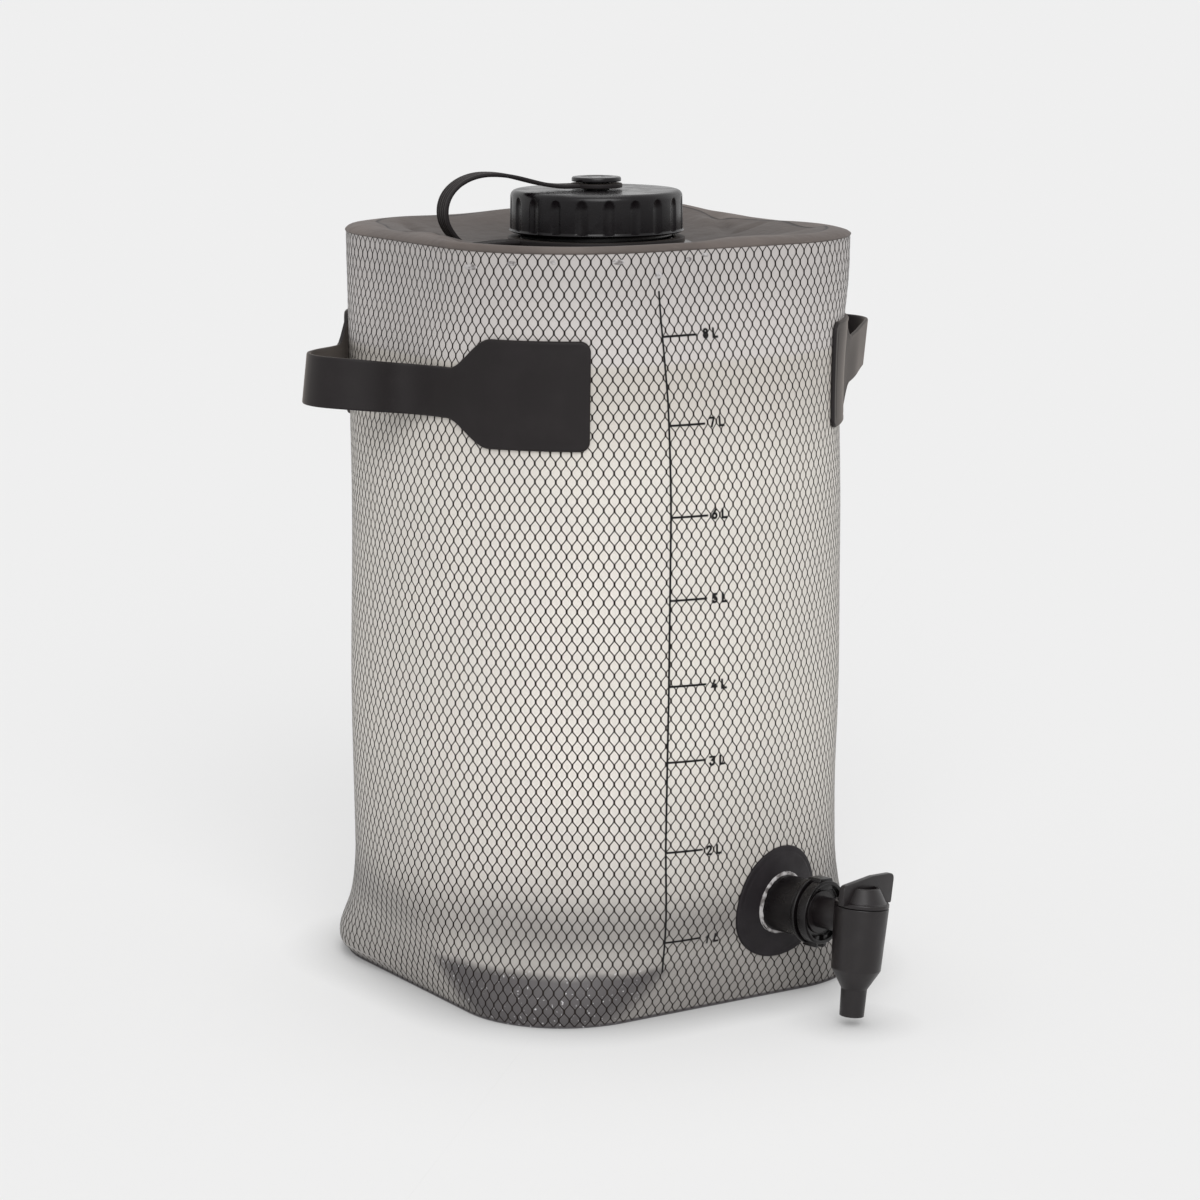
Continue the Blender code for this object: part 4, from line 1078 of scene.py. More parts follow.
@dataclass(frozen=True)
class Wall:
    """The bag's wall: a tube of film with a net moulded into it and a printed gauge."""

    form: BagForm = FORM
    thickness: float = 0.8 * MM
    film_columns: int = 224
    film_rows: tuple[tuple[float, float, int], ...] = (
        (0.0, 0.050, 40), (0.0525, 0.195, 50), (0.198, 0.298, 44))
    cells: int = 154
    cell_height: float = 7.1 * MM
    line_width: float = 0.53 * MM
    net_lift: float = 0.07 * MM
    net_margins: Pair = (0.6 * MM, 0.5 * MM)
    knot: tuple[Pair, ...] = ((-0.105, 0.43), (0.0, 0.455), (0.105, 0.43))
    gauge_arcs: tuple[float, ...] = (-28.7, -29.3, -28.2, -27.6, -27.6, -29.0)
    gauge_levels: tuple[float, ...] = (19.0, 69.0, 128.3, 199.2, 243.7, 284.6)
    tick_levels: tuple[float, ...] = (31.7, 67.9, 103.5, 133.3, 166.8, 198.9, 233.9, 267.4)
    label_arcs: tuple[float, ...] = (-7.3, -8.9, -7.8, -7.2, -7.0, -7.2, -6.8, -6.8)
    label_levels: tuple[float, ...] = (30.6, 67.3, 102.8, 132.8, 166.6, 199.2, 234.3, 267.6)
    line_steps: int = 24
    tick_steps: int = 12
    line_print: float = 0.80 * MM
    tick_print: float = 0.84 * MM
    tick_length: float = 15.4 * MM
    sign_height: float = 3.15 * MM
    sign_starts: Pair = (-3.1 * MM, 1.3 * MM)
    sign_print: float = 0.90 * MM
    print_lift: float = 0.16 * MM

    def build_film(self) -> None:
        """Makes the film tube with its soft dents, which stands for the plain wall."""
        heights = np.concatenate([np.linspace(*row) for row in self.film_rows])
        rows = []
        for level in heights:
            rows.append([self.form.raised(spot) for spot in self.form.ring(self.film_columns, level)])
        for level in heights[::-1]:
            rows.append(self.form.ring(self.film_columns, level, -self.thickness))
        mesh = grid_mesh("film", np.array(rows), close_rows=True, close_columns=True)
        place(mesh, "film_wall", FilmFinish(), Slot.FILM, ("side_wall",))

    def build_net(self) -> None:
        """Makes the net: wavy strands that meet their neighbours in turn and leave pointed cells."""
        strands = 2 * self.cells
        low, top = self.net_margins[0], self.form.height - self.net_margins[1]
        turns = []
        for half in range(int(2.0 * top / self.cell_height) + 2):
            way = -1.0 if half % 2 else 1.0
            turns += [((half / 2.0 + at) * self.cell_height, way * out / strands) for at, out in self.knot]
        levels = [low] + [level for level, _ in turns if low < level < top] + [top]
        waves = np.interp(levels, [level for level, _ in turns], [wave for _, wave in turns])
        points, faces = [], []
        for strand in range(strands):
            turn = -1.0 if strand % 2 else 1.0
            for row, (level, wave) in enumerate(zip(levels, waves)):
                share = strand / strands + turn * wave
                half = self.line_width / 2.0 / self.form.perimeter(level)
                if row:
                    last = len(points)
                    faces.append((last - 2, last - 1, last + 1, last))
                for edge in (share - half, share + half):
                    points.append(self.form.raised(self.form.point(edge, level, self.net_lift)))
        mesh = bpy.data.meshes.new("net")
        mesh.from_pydata(points, [], faces)
        place(mesh, "moulded_net", NET_FINISH, Slot.PANEL, crease=60.0)

    def gauge_arc(self, level: float) -> float:
        """Arc length of the gauge's line at a height."""
        return float(np.interp(level / MM, self.gauge_levels, self.gauge_arcs)) * MM

    def stroke(self, line: Profile, width: float, past: float = 0.0) -> Mesh:
        """Printed stroke along a broken line on the wall.

        Args:
            line: Arc lengths and heights of its corners.
            width: Width of the stroke.
            past: How far it runs past both ends of the line.

        Returns:
            The stroke, a little proud of the film, with mitred corners.
        """
        corners = [Vector(corner) for corner in line]
        ways = [(after - before).normalized() for before, after in zip(corners, corners[1:])]
        grid = np.zeros((len(corners), 2, 3))
        for row, corner in enumerate(corners):
            before, after = ways[max(row - 1, 0)], ways[min(row, len(ways) - 1)]
            along = (before + after).normalized()
            if row in (0, len(corners) - 1):
                corner = corner + along * (past if row else -past)
            across = Vector((-along.y, along.x)) * width / 2.0 / max(along.dot(after), 0.62)
            for column, side in enumerate((-1.0, 1.0)):
                spot = corner + across * side
                share = self.form.share(spot.x, spot.y)
                grid[row, column] = self.form.point(share, spot.y, self.print_lift)
        return grid_mesh("stroke", grid)

    def lettering(self, text: str, arc: float, level: float) -> list[Mesh]:
        """Printed label of two signs.

        Args:
            text: The label.
            arc: Arc length of its middle.
            level: Height of its middle.

        Returns:
            The label's strokes.
        """
        meshes = []
        for sign, left in zip(text, self.sign_starts):
            for line in GLYPHS[sign]:
                corners = [(arc + left + x * self.sign_height, level + (y - 0.5) * self.sign_height)
                           for x, y in line]
                meshes.append(self.stroke(corners, self.sign_print, self.sign_print / 2.0))
        return meshes

    def build_gauge(self) -> None:
        """Makes the printed litre gauge: its line, ticks and labels."""
        meshes = []
        knots = list(zip(self.gauge_arcs, self.gauge_levels))
        for start, end in zip(knots, knots[1:]):
            steps = steps_between(0.0, 1.0, self.line_steps)
            line = [Vector(start).lerp(Vector(end), step) * MM for step in steps]
            meshes.append(self.stroke(line, self.line_print))
        rows = zip(self.tick_levels, self.label_arcs, self.label_levels)
        for number, (tick, arc, level) in enumerate(rows, start=1):
            start = self.gauge_arc(tick * MM)
            reaches = steps_between(start, start + self.tick_length, self.tick_steps)
            meshes.append(self.stroke([(reach, tick * MM) for reach in reaches], self.tick_print))
            meshes += self.lettering(f"{number}L", arc * MM, level * MM)
        place(merged("gauge", meshes), "litre_gauge", InkFinish(), Slot.STRAP)

    def build(self) -> None:
        """Makes the film, its net and its gauge."""
        self.build_film()
        self.build_net()
        self.build_gauge()


@dataclass(frozen=True)
class Fold:
    """Soft ridge or crease of the top panel, along a line in plan."""

    start: Pair
    end: Pair
    height: float
    width: float

    def lift(self, x: float, y: float) -> float:
        """Lifts the panel along the line, most in its middle.

        Args:
            x: First coordinate of the place.
            y: Second coordinate of the place.

        Returns:
            How far the panel rises there.
        """
        spot, first = Vector((x, y)), Vector(self.start) * MM
        along = Vector(self.end) * MM - first
        t = min(max((spot - first).dot(along) / along.length_squared, 0.0), 1.0)
        away = (spot - first - along * t).length
        return self.height * MM * bell(away, self.width * MM) * (0.45 + 0.55 * sin(pi * t))


@dataclass(frozen=True)
class TopCover:
    """Coated panel on top: a raised band over the front, soft humps over the other corners."""

    form: BagForm = FORM
    thickness: float = 1.0 * MM
    seat: float = 293.0 * MM
    hole: float = 31.3 * MM
    seat_radius: float = 39.5 * MM
    bow: float = 1.15
    skirt: float = 7.0 * MM
    skirt_insets: Pair = (2.1 * MM, 1.1 * MM)
    columns: int = 256
    seam: float = 10.5 * MM
    upright: Profile = (
        (-0.30, 299.4), (-0.72, 299.7), (-0.78, 300.4), (-0.60, 301.3), (-0.1, 301.9), (0.8, 302.1),
        (1.7, 301.9), (2.4, 300.9), (3.0, 299.2), (5.0, 298.5), (10.0, 298.3))
    hump: Profile = (
        (-0.30, 299.3), (-0.42, 299.6), (-0.1, 300.1), (0.7, 300.8), (1.9, 301.4), (3.6, 301.9),
        (5.4, 302.1), (7.4, 302.1), (9.6, 301.8), (12.0, 301.3), (15.0, 300.7))
    rim_waves: tuple[Triple, ...] = ((128.0, 2.0, 0.16), (88.0, -1.9, 0.50), (-155.0, -1.0, 0.40))
    drops: tuple[tuple[float, float, float, float], ...] = (
        (-62.0, 6.5, 3.4, 1.1), (-51.0, 4.2, 2.2, 0.9), (-41.5, 3.5, 1.2, 0.8), (-27.0, 3.6, 2.6, 1.0),
        (-17.0, 9.2, 1.6, 1.3), (-9.0, 4.0, 1.4, 0.9), (-4.5, 2.6, 1.8, 0.8))
    drop_lift: float = 0.06 * MM
    drop_height: float = 0.42 * MM
    folds: tuple[Fold, ...] = (
        Fold((84.0, 43.0), (61.0, -6.0), -2.2, 3.2),
        Fold((61.0, -8.0), (76.0, -6.0), -1.9, 2.6),
        Fold((72.0, 12.0), (70.0, 30.0), 1.6, 6.0),
        Fold((26.0, -72.0), (78.0, -50.0), 1.5, 5.0),
        Fold((-49.0, 67.0), (-52.0, 46.0), -1.9, 2.8),
        Fold((-62.0, 62.0), (-80.0, -20.0), 1.3, 5.0),
        Fold((-20.0, 74.0), (34.0, 76.0), 1.2, 8.0),
        Fold((-78.0, -8.0), (-60.0, -44.0), -2.0, 3.0),
        Fold((-84.0, 12.0), (-62.0, 20.0), -1.8, 2.6))

    def edge(self, angle: float) -> Profile:
        """Section over the panel's edge.

        Args:
            angle: Angle in plan from -Y towards +X.

        Returns:
            Distances in from the wall and heights, from outside in.
        """
        share = self.form.band(angle)
        waves = 0.25 * sin(5.0 * angle + 1.0) + 0.18 * sin(11.0 * angle)
        for turn, rise, width in self.rim_waves:
            waves += rise * bell(turn_apart(angle, radians(turn)), width)
        section = []
        for index, (high, low) in enumerate(zip(self.upright, self.hump)):
            grow = ease(index / 5.0) * (1.0 - share * 0.7)
            inset, height = (mix(low[axis], high[axis], share) for axis in (0, 1))
            section.append((inset * MM, (height + waves * grow) * MM))
        return section

    def column(self, share: float) -> list[Vector]:
        """Upper face of the panel at one place round the rim.

        Args:
            share: Share of the perimeter from the middle of the -Y side towards +X.

        Returns:
            Points from the wall to the neck.
        """
        level = self.form.height
        rim, normal = self.form.walk(share * self.form.perimeter(level), *self.form.section(level))
        angle = atan2(rim.x, -rim.y)
        points = [Vector((*(rim - normal * inset), height)) for inset, height in self.edge(angle)]
        last = points[-1].copy()
        seat = Vector((sin(angle), -cos(angle))) * self.seat_radius
        for t in steps_between(0.0, 1.0, 24)[1:]:
            height = self.seat + (last.z - self.seat) * (1.0 - t) ** self.bow
            points.append(Vector((*last.xy.lerp(seat, t), height)))
        points.append(Vector((*(seat.normalized() * self.hole), self.seat)))
        for index, point in enumerate(points):
            held = ease((index - 4.0) / 5.0) * ease((len(points) - 3.0 - index) / 6.0)
            lift = sum(fold.lift(point.x, point.y) for fold in self.folds)
            lift += 0.22 * MM * sin(point.x * 130.0 + 1.0) * sin(point.y * 110.0)
            point.z += held * lift
        return points

    def build(self) -> None:
        """Makes the panel, which stands for the plain one, and the drops of weld under its band."""
        down = Vector((0.0, 0.0, self.thickness))
        grid = list(zip(*(self.column(column / self.columns) for column in range(self.columns))))
        grid += [[point - down for point in row] for row in grid[:2:-1]]
        inner, outer = self.skirt_insets
        for inset, depth in ((inner, 0.0), (inner, self.skirt), (outer, self.skirt), (outer, 0.0)):
            grid.append(self.form.ring(self.columns, self.form.height - depth, -inset, even=True))
        mesh = grid_mesh("panel", np.array(grid), close_rows=True, close_columns=True)
        finish = CoatedFabricFinish(seam=self.seam)
        place(mesh, "top_cover", finish, Slot.PANEL, ("top_panel",), crease=50.0)
        self.build_drops()

    def build_drops(self) -> None:
        """Makes the pale drops where the band is welded to the film."""
        meshes = []
        for angle, below, wide, high in self.drops:
            level = self.form.height + self.form.band_rise - below * MM
            share = radians(angle) / (2.0 * pi)
            grid = np.zeros((5, 18, 3))
            for row, column in np.ndindex(5, 18):
                slope, turn = pi / 2.0 * (1.0 - row / 4.0), 2.0 * pi * column / 18.0
                arc = wide * MM * sin(slope) * cos(turn)
                spot = level + high * MM * sin(slope) * sin(turn)
                lift = self.drop_lift + self.drop_height * cos(slope)
                grid[row, column] = self.form.point(share + arc / self.form.perimeter(spot), spot, lift)
            meshes.append(grid_mesh("drop", grid, close_columns=True))
        place(merged("drops", meshes), "weld_drops", ClearBeadFinish(), Slot.WELD)


@dataclass(frozen=True)
class BaseCover:
    """Flat dark base inside the foot of the wall, with a welded rim."""

    form: BagForm = FORM
    inset: float = 1.1 * MM
    columns: int = 192
    rings: Profile = (
        (0.6, 0.0), (0.15, 0.12), (0.0, 0.4), (0.0, 1.0), (1.5, 1.0), (4.0, 1.0), (5.0, 0.75),
        (40.0, 0.75), (80.0, 0.75))
    corner_share: float = 0.92
    middle_share: float = 0.35
    finish: Finish = CoatedFabricFinish(linear(66, 61, 60), linear(78, 72, 70))

    def build(self) -> None:
        """Makes the base, which stands for the plain one."""
        grid = []
        half, corner = self.form.section(0.0)
        most = self.corner_share * corner
        for inset, height in self.rings:
            into = self.inset + inset * MM
            row = []
            for column in range(self.columns):
                arc = self.form.perimeter(0.0) * column / self.columns
                point, normal = self.form.walk(arc, half, corner)
                spot = point - normal * min(into, most)
                if into > most:
                    spot = spot * self.middle_share
                row.append((*spot, height * MM))
            grid.append(row)
        grid.insert(0, [(x * 0.5, y * 0.5, 0.0) for x, y, _ in grid[0]])
        mesh = grid_mesh("base", np.array(grid), close_columns=True, caps=True)
        place(mesh, "base_cover", self.finish, Slot.PANEL, ("base_panel",))


def curve_through(knots: Sequence[tuple[Vector, Vector]], steps: int,
                  stretch: float = 0.55) -> list[tuple[Vector, Vector]]:
    """Smooth curve through knots.

    Args:
        knots: Places and directions in two dimensions.
        steps: Steps between two knots.
        stretch: How far each knot's direction carries.

    Returns:
        Points and tangents.
    """
    samples = []
    for (start, out), (end, into) in zip(knots, knots[1:]):
        reach = (end - start).length * stretch / 1.4
        first = start + out.normalized() * reach
        second = end - into.normalized() * reach
        count = steps if end is knots[-1][0] else steps - 1
        for index in range(count + 1):
            t = index / steps
            u = 1.0 - t
            spot = start * u ** 3 + first * 3 * u * u * t + second * 3 * u * t * t + end * t ** 3
            slope = (first - start) * u * u + (second - first) * 2 * u * t + (end - second) * t * t
            samples.append((spot, slope.normalized()))
    return samples


@dataclass(frozen=True)
class Handle:
    """Side handle: two pads on the wall and a loop between them that stands off."""

    side: Side
    body: Body
    lean: float
    flared: float
    flare: Pair
    rise: float = 3.2 * MM
    sag: float = 0.8 * MM
    end_radius: float = 20.0 * MM
    form: BagForm = FORM
    height: float = 245.7 * MM
    thickness: float = 1.5 * MM
    gap: float = 0.15 * MM
    pad_half: float = 21.0 * MM
    strap_half: float = 9.7 * MM
    outer_arc: float = 96.5 * MM
    inner_arc: float = 57.5 * MM
    neck_arc: float = 38.2 * MM
    corner: float = 4.0 * MM
    standoff: float = 36.2 * MM
    weld_inset: float = 2.6 * MM
    weld_width: float = 0.30 * MM
    weld_depth: float = 0.16 * MM
    edge_radius: float = 0.7 * MM
    edge_low: float = 0.35
    levels: int = 26
    bend: Pair = (95.5 * MM, 108.5 * MM)

    def root_arc(self, way: float) -> float:
        """Arc length from the middle of the side at which the strap leaves the wall."""
        return self.inner_arc - 1.0 * MM if way == self.flared else self.neck_arc

    def half_height(self, run: float, way: float) -> float:
        """Half the height of the handle along its length.

        Args:
            run: Distance from where the strap leaves the wall, less than 0 on the wall.
            way: 1 towards the front, -1 towards the rear.

        Returns:
            Half the height.
        """
        into = self.root_arc(way) - run - self.outer_arc + self.corner
        if into > 0.0:
            return self.pad_half - self.corner + sqrt(max(self.corner ** 2 - into ** 2, 0.0))
        off, length = self.flare if way == self.flared else (0.0, self.inner_arc - self.neck_arc)
        return mix(self.strap_half, self.pad_half, ease((off - run) / length))

    def narrowed(self, half: float) -> float:
        """1 where the handle is as narrow as its strap, 0 on its pads."""
        return min(max((self.pad_half - half) / (self.pad_half - self.strap_half), 0.0), 1.0)

    def edge_share(self, away: float) -> float:
        """How far the outer face stands: 1 in the field, less on the rounded edges."""
        return mix(self.edge_low, 1.0, round_edge(away, self.edge_radius))

    def steps(self) -> list[float]:
        """Levels across the strap, close together at its edges."""
        return [sin(pi / 2.0 * level) for level in steps_between(-1.0, 1.0, self.levels)]

    def groove(self, arc: float, away: float) -> float:
        """Weld line of the pad, a rounded rectangle set in from its outline.

        Args:
            arc: Arc length from the middle of the handle's side.
            away: Distance in from the pad's upper or lower edge.

        Returns:
            Depth of the line.
        """
        far, near = self.outer_arc - self.weld_inset, self.inner_arc - 1.0 * MM
        line = bell(away - self.weld_inset, self.weld_width) if arc < far else 0.0
        if away > self.weld_inset:
            line = max(line, bell(arc - far, self.weld_width), bell(arc - near, self.weld_width))
        return self.weld_depth * line * ease((arc - self.inner_arc + 6.0 * MM) / (3.0 * MM))

    def wall_ring(self, arc: float, way: float) -> list[Vector]:
        """Section of the handle on the wall.

        Args:
            arc: Arc length from the middle of its side.
            way: 1 towards the front, -1 towards the rear.

        Returns:
            Points round the section.
        """
        half = self.half_height(self.root_arc(way) - arc, way)
        inner, outer = [], []
        for level in self.steps():
            height = self.height + level * half - self.sag * self.narrowed(half)
            share = self.side.value * (0.25 - way * self.form.share(arc, height))
            away = (1.0 - abs(level)) * half
            full = self.thickness * min(self.edge_share(away), self.edge_share(self.outer_arc - arc))
            full -= self.groove(arc, away)
            inner.append(self.form.point(share, height, self.gap))
            outer.append(self.form.point(share, height, self.gap + full))
        return inner + outer[::-1]

    def path(self, way: float) -> list[tuple[Vector, Vector]]:
        """Middle line of the free strap on the +X side, from the front pad to the far end.

        Args:
            way: 1 for the front half, -1 for the rear half, drawn as if it were in front.

        Returns:
            Points and directions.
        """
        half, corner = self.form.section(self.height)
        quarter = self.form.perimeter(self.height) / 4.0
        start, normal = self.form.walk(quarter - self.root_arc(way), half, corner)
        start = start + normal * (self.gap + self.thickness / 2.0)
        leave = Vector((-normal.y, normal.x))
        center = half + self.standoff - self.end_radius - self.thickness / 2.0
        bearing = 0.0
        if way == self.flared:
            toward = Vector((center, 0.0)) - start
            bearing = atan2(toward.y, toward.x) - asin(self.end_radius / toward.length)
            leave = Vector((cos(bearing), sin(bearing)))
        touch = Vector((center, 0.0)) + Vector((sin(bearing), -cos(bearing))) * self.end_radius
        samples = curve_through([(start, leave), (touch, Vector((cos(bearing), sin(bearing))))], 22, 0.62)
        for index in range(1, 15):
            angle = (bearing - pi / 2.0) * (1.0 - index / 14.0)
            spot = Vector((center + self.end_radius * cos(angle), self.end_radius * sin(angle)))
            samples.append((spot, Vector((-sin(angle), cos(angle)))))
        return samples

    def free_rings(self, way: float) -> list[list[Vector]]:
        """Sections of one half of the loop, from the wall to the far end.

        Args:
            way: 1 for the front half, -1 for the rear half.

        Returns:
            The sections.
        """
        samples = self.path(way)
        wall = [Vector((self.side.value * p.x, way * p.y)) for p in self.wall_ring(self.root_arc(way), way)]
        start, end = samples[0][0], samples[-1][0]
        rings, run = [], 0.0
        for index, (spot, slope) in enumerate(samples):
            run += (spot - samples[max(index - 1, 0)][0]).length
            half = self.half_height(run, way)
            normal = Vector((slope.y, -slope.x))
            base = spot - normal * self.thickness / 2.0
            fade = 1.0 - ease(index / 15.0)
            out = ease((spot.x - start.x) / (end.x - start.x))
            ring = []
            for face, levels in ((-1.0, self.steps()), (1.0, self.steps()[::-1])):
                for level in levels:
                    full = self.thickness * self.edge_share((1.0 - abs(level)) * half)
                    on_face = base + normal * (self.thickness + face * full) * 0.5
                    even = start + (on_face - spot)
                    shift = (wall[len(ring)] - even) * fade
                    height = self.height + level * half + self.rise * out - self.sag * self.narrowed(half)
                    across = on_face.x + shift.x + self.lean * level * out
                    ring.append(Vector((self.side.value * across, way * (on_face.y + shift.y), height)))
            rings.append(ring)
        return rings

    def build(self) -> None:
        """Makes the handle as one piece."""
        fine = [self.outer_arc - self.corner * (1.0 - cos(pi / 2.0 * i / 12.0)) for i in range(13)]
        stations = fine + steps_between(fine[-1], self.neck_arc, 44)[1:-1]
        front, rear = (
            [self.wall_ring(arc, way) for arc in stations if arc > self.root_arc(way) + 0.2 * MM]
            for way in (1.0, -1.0))
        rings = front + self.free_rings(1.0) + self.free_rings(-1.0)[-2::-1] + rear[::-1]
        side = self.side.name.lower()
        mesh = grid_mesh(f"handle_{side}", np.array(rings), close_columns=True, caps=True)
        nodes = [f"handle_{side}_{part}" for part in ("front_pad", "rear_pad", "strap")]
        item = place(mesh, f"{side}_handle", RibbedRubberFinish(), Slot.STRAP, nodes, None, 50.0)
        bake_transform(item)


@dataclass(frozen=True)
class Tether:
    """Tether of the cap: a ring round the neck, a grooved strap and an eye under the stud."""

    angle: float = radians(171.0)
    ring_radius: float = 35.5 * MM
    ring_hole: float = 31.3 * MM
    ring_bottom: float = 295.1 * MM
    eye_radius: float = 10.4 * MM
    eye_hole: float = 5.1 * MM
    eye_bottom: float = 316.7 * MM
    plate: float = 2.2 * MM
    eye_plate: float = 1.7 * MM
    tab: float = 4.3 * MM
    half_width: float = 5.0 * MM
    thickness: float = 1.6 * MM
    reach: float = 65.8 * MM
    rise: float = 5.6 * MM
    grooves: tuple[float, ...] = (-0.62, -0.22, 0.22, 0.62)
    groove_width: float = 0.075
    groove_depth: float = 0.42 * MM
    soft: float = 0.4 * MM
    bend: Pair = (297.5 * MM, 316.0 * MM)

    def washer(self, radius: float, hole: float, bottom: float, plate: float) -> Mesh:
        """Flat ring with soft edges.

        Args:
            radius: Outer radius.
            hole: Radius of its hole.
            bottom: Height of its lower face.
            plate: Thickness.

        Returns:
            The ring.
        """
        top = bottom + plate
        corners = [(hole, bottom), (radius, bottom), (radius, top), (hole, top)]
        return revolve("washer", rounded(corners, (self.soft,) * 4), 72)

    def path(self) -> list[tuple[Vector, Vector]]:
        """Middle line of the strap, from inside the eye to inside the ring.

        Returns:
            Points and directions, as reach and height.
        """
        start = Vector((self.eye_radius + self.tab, self.eye_bottom + self.eye_plate / 2.0))
        end = Vector((self.ring_radius + self.tab, self.ring_bottom + self.plate / 2.0))
        top = Vector((mix(start.x, self.reach, 0.64), start.y + self.rise))
        side = Vector((self.reach, mix(end.y, top.y, 0.47)))
        turn = Vector((self.reach - 3.4 * MM, end.y + 3.9 * MM))
        knots = [(start, Vector((1.0, 0.05))), (top, Vector((1.0, 0.0))), (side, Vector((0.0, -1.0))),
                 (turn, Vector((-0.75, -1.0))), (end, Vector((-1.0, 0.0)))]
        inner = (Vector((self.eye_radius - 2.0 * MM, start.y)), Vector((1.0, 0.0)))
        outer = (Vector((self.ring_radius - 2.0 * MM, end.y)), Vector((-1.0, 0.0)))
        return [inner] + curve_through(knots, 22) + [outer]

    def strap(self) -> Mesh:
        """Strap with grooves along both of its faces.

        Returns:
            The strap, from inside the eye to inside the ring.
        """
        wide = steps_between(-1.0, 1.0, 40)
        rings = []
        for spot, slope in self.path():
            normal = Vector((-slope.y, slope.x))
            ring = []
            for face, levels in ((1.0, wide), (-1.0, wide[::-1])):
                for across in levels:
                    edge = round_edge((1.0 - abs(across)) * self.half_width, 0.5 * MM)
                    line = max(bell(across - groove, self.groove_width) for groove in self.grooves)
                    high = self.thickness / 2.0 * mix(0.35, 1.0, edge) - self.groove_depth * line
                    on_face = spot + normal * face * high
                    ring.append((on_face.x, across * self.half_width, on_face.y))
            rings.append(ring)
        return grid_mesh("strap", np.array(rings), close_columns=True, caps=True)

    def build(self) -> None:
        """Makes the tether as one piece."""
        ring = self.washer(self.ring_radius, self.ring_hole, self.ring_bottom, self.plate)
        eye = self.washer(self.eye_radius, self.eye_hole, self.eye_bottom, self.eye_plate)
        mesh = combined(combined(self.strap(), ring), eye)
        moved(mesh, Matrix.Rotation(self.angle, 4, "Z"))
        item = place(mesh, "cap_tether", RibbedRubberFinish(bloom=0.1), Slot.STRAP,
                     ("tether_ring", "tether_strap", "tether_eye"), None, 40.0)
        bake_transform(item)


@dataclass(frozen=True)
class Thread:
    """Round-crested thread on a turned piece."""

    low: float
    high: float
    pitch: float
    depth: float

    def height(self, angle: float, level: float) -> float:
        """How far the thread stands out.

        Args:
            angle: Angle round the piece.
            level: Height on the piece.

        Returns:
            The height of the thread there.
        """
        if not self.low <= level <= self.high:
            return 0.0
        turns = (level - self.low) / self.pitch - angle / (2.0 * pi)
        away = abs(turns - round(turns)) * self.pitch
        ends = ease((level - self.low) / (0.8 * MM)) * ease((self.high - level) / (0.8 * MM))
        return self.depth * ends * bell(away, 0.22 * self.pitch)


@dataclass(frozen=True)
class Neck:
    """Threaded neck on its flange."""

    bottom: float = 290.0 * MM
    flange_bottom: float = 293.3 * MM
    flange_top: float = 294.8 * MM
    top: float = 310.8 * MM
    bore: float = 27.0 * MM
    core: float = 30.2 * MM
    foot: float = 31.0 * MM
    flange_radius: float = 38.5 * MM
    edge: float = 0.6 * MM
    thread: Thread = Thread(297.5 * MM, 309.6 * MM, 4.2 * MM, 1.0 * MM)

    def build(self) -> None:
        """Makes the neck, which stands for the plain one."""
        profile = rounded(
            [(self.bore, self.bottom), (self.foot, self.bottom), (self.foot, self.flange_bottom),
             (self.flange_radius, self.flange_bottom), (self.flange_radius, self.flange_top),
             (self.foot, self.flange_top), (self.foot, self.flange_top + 1.2 * MM)],
            (0.0, 0.0, 0.0, 0.4 * MM, 0.5 * MM, 0.3 * MM, 0.0), closed=False)
        levels = steps_between(self.flange_top + 2.0 * MM, self.top - self.edge, 48)
        profile += [(self.core, level) for level in levels]
        profile += [(self.core - self.edge, self.top), (self.bore + self.edge, self.top),
                    (self.bore, self.top - self.edge)]

        def shape(angle: float, radius: float, level: float) -> Pair:
            """Raises the thread on the neck's core."""
            crest = self.thread.height(angle, level) if abs(radius - self.core) < NEAR else 0.0
            return radius + crest, level

        place(revolve("neck", profile, 144, shape), "threaded_neck", NECK_FINISH, Slot.CAP, ("neck",))


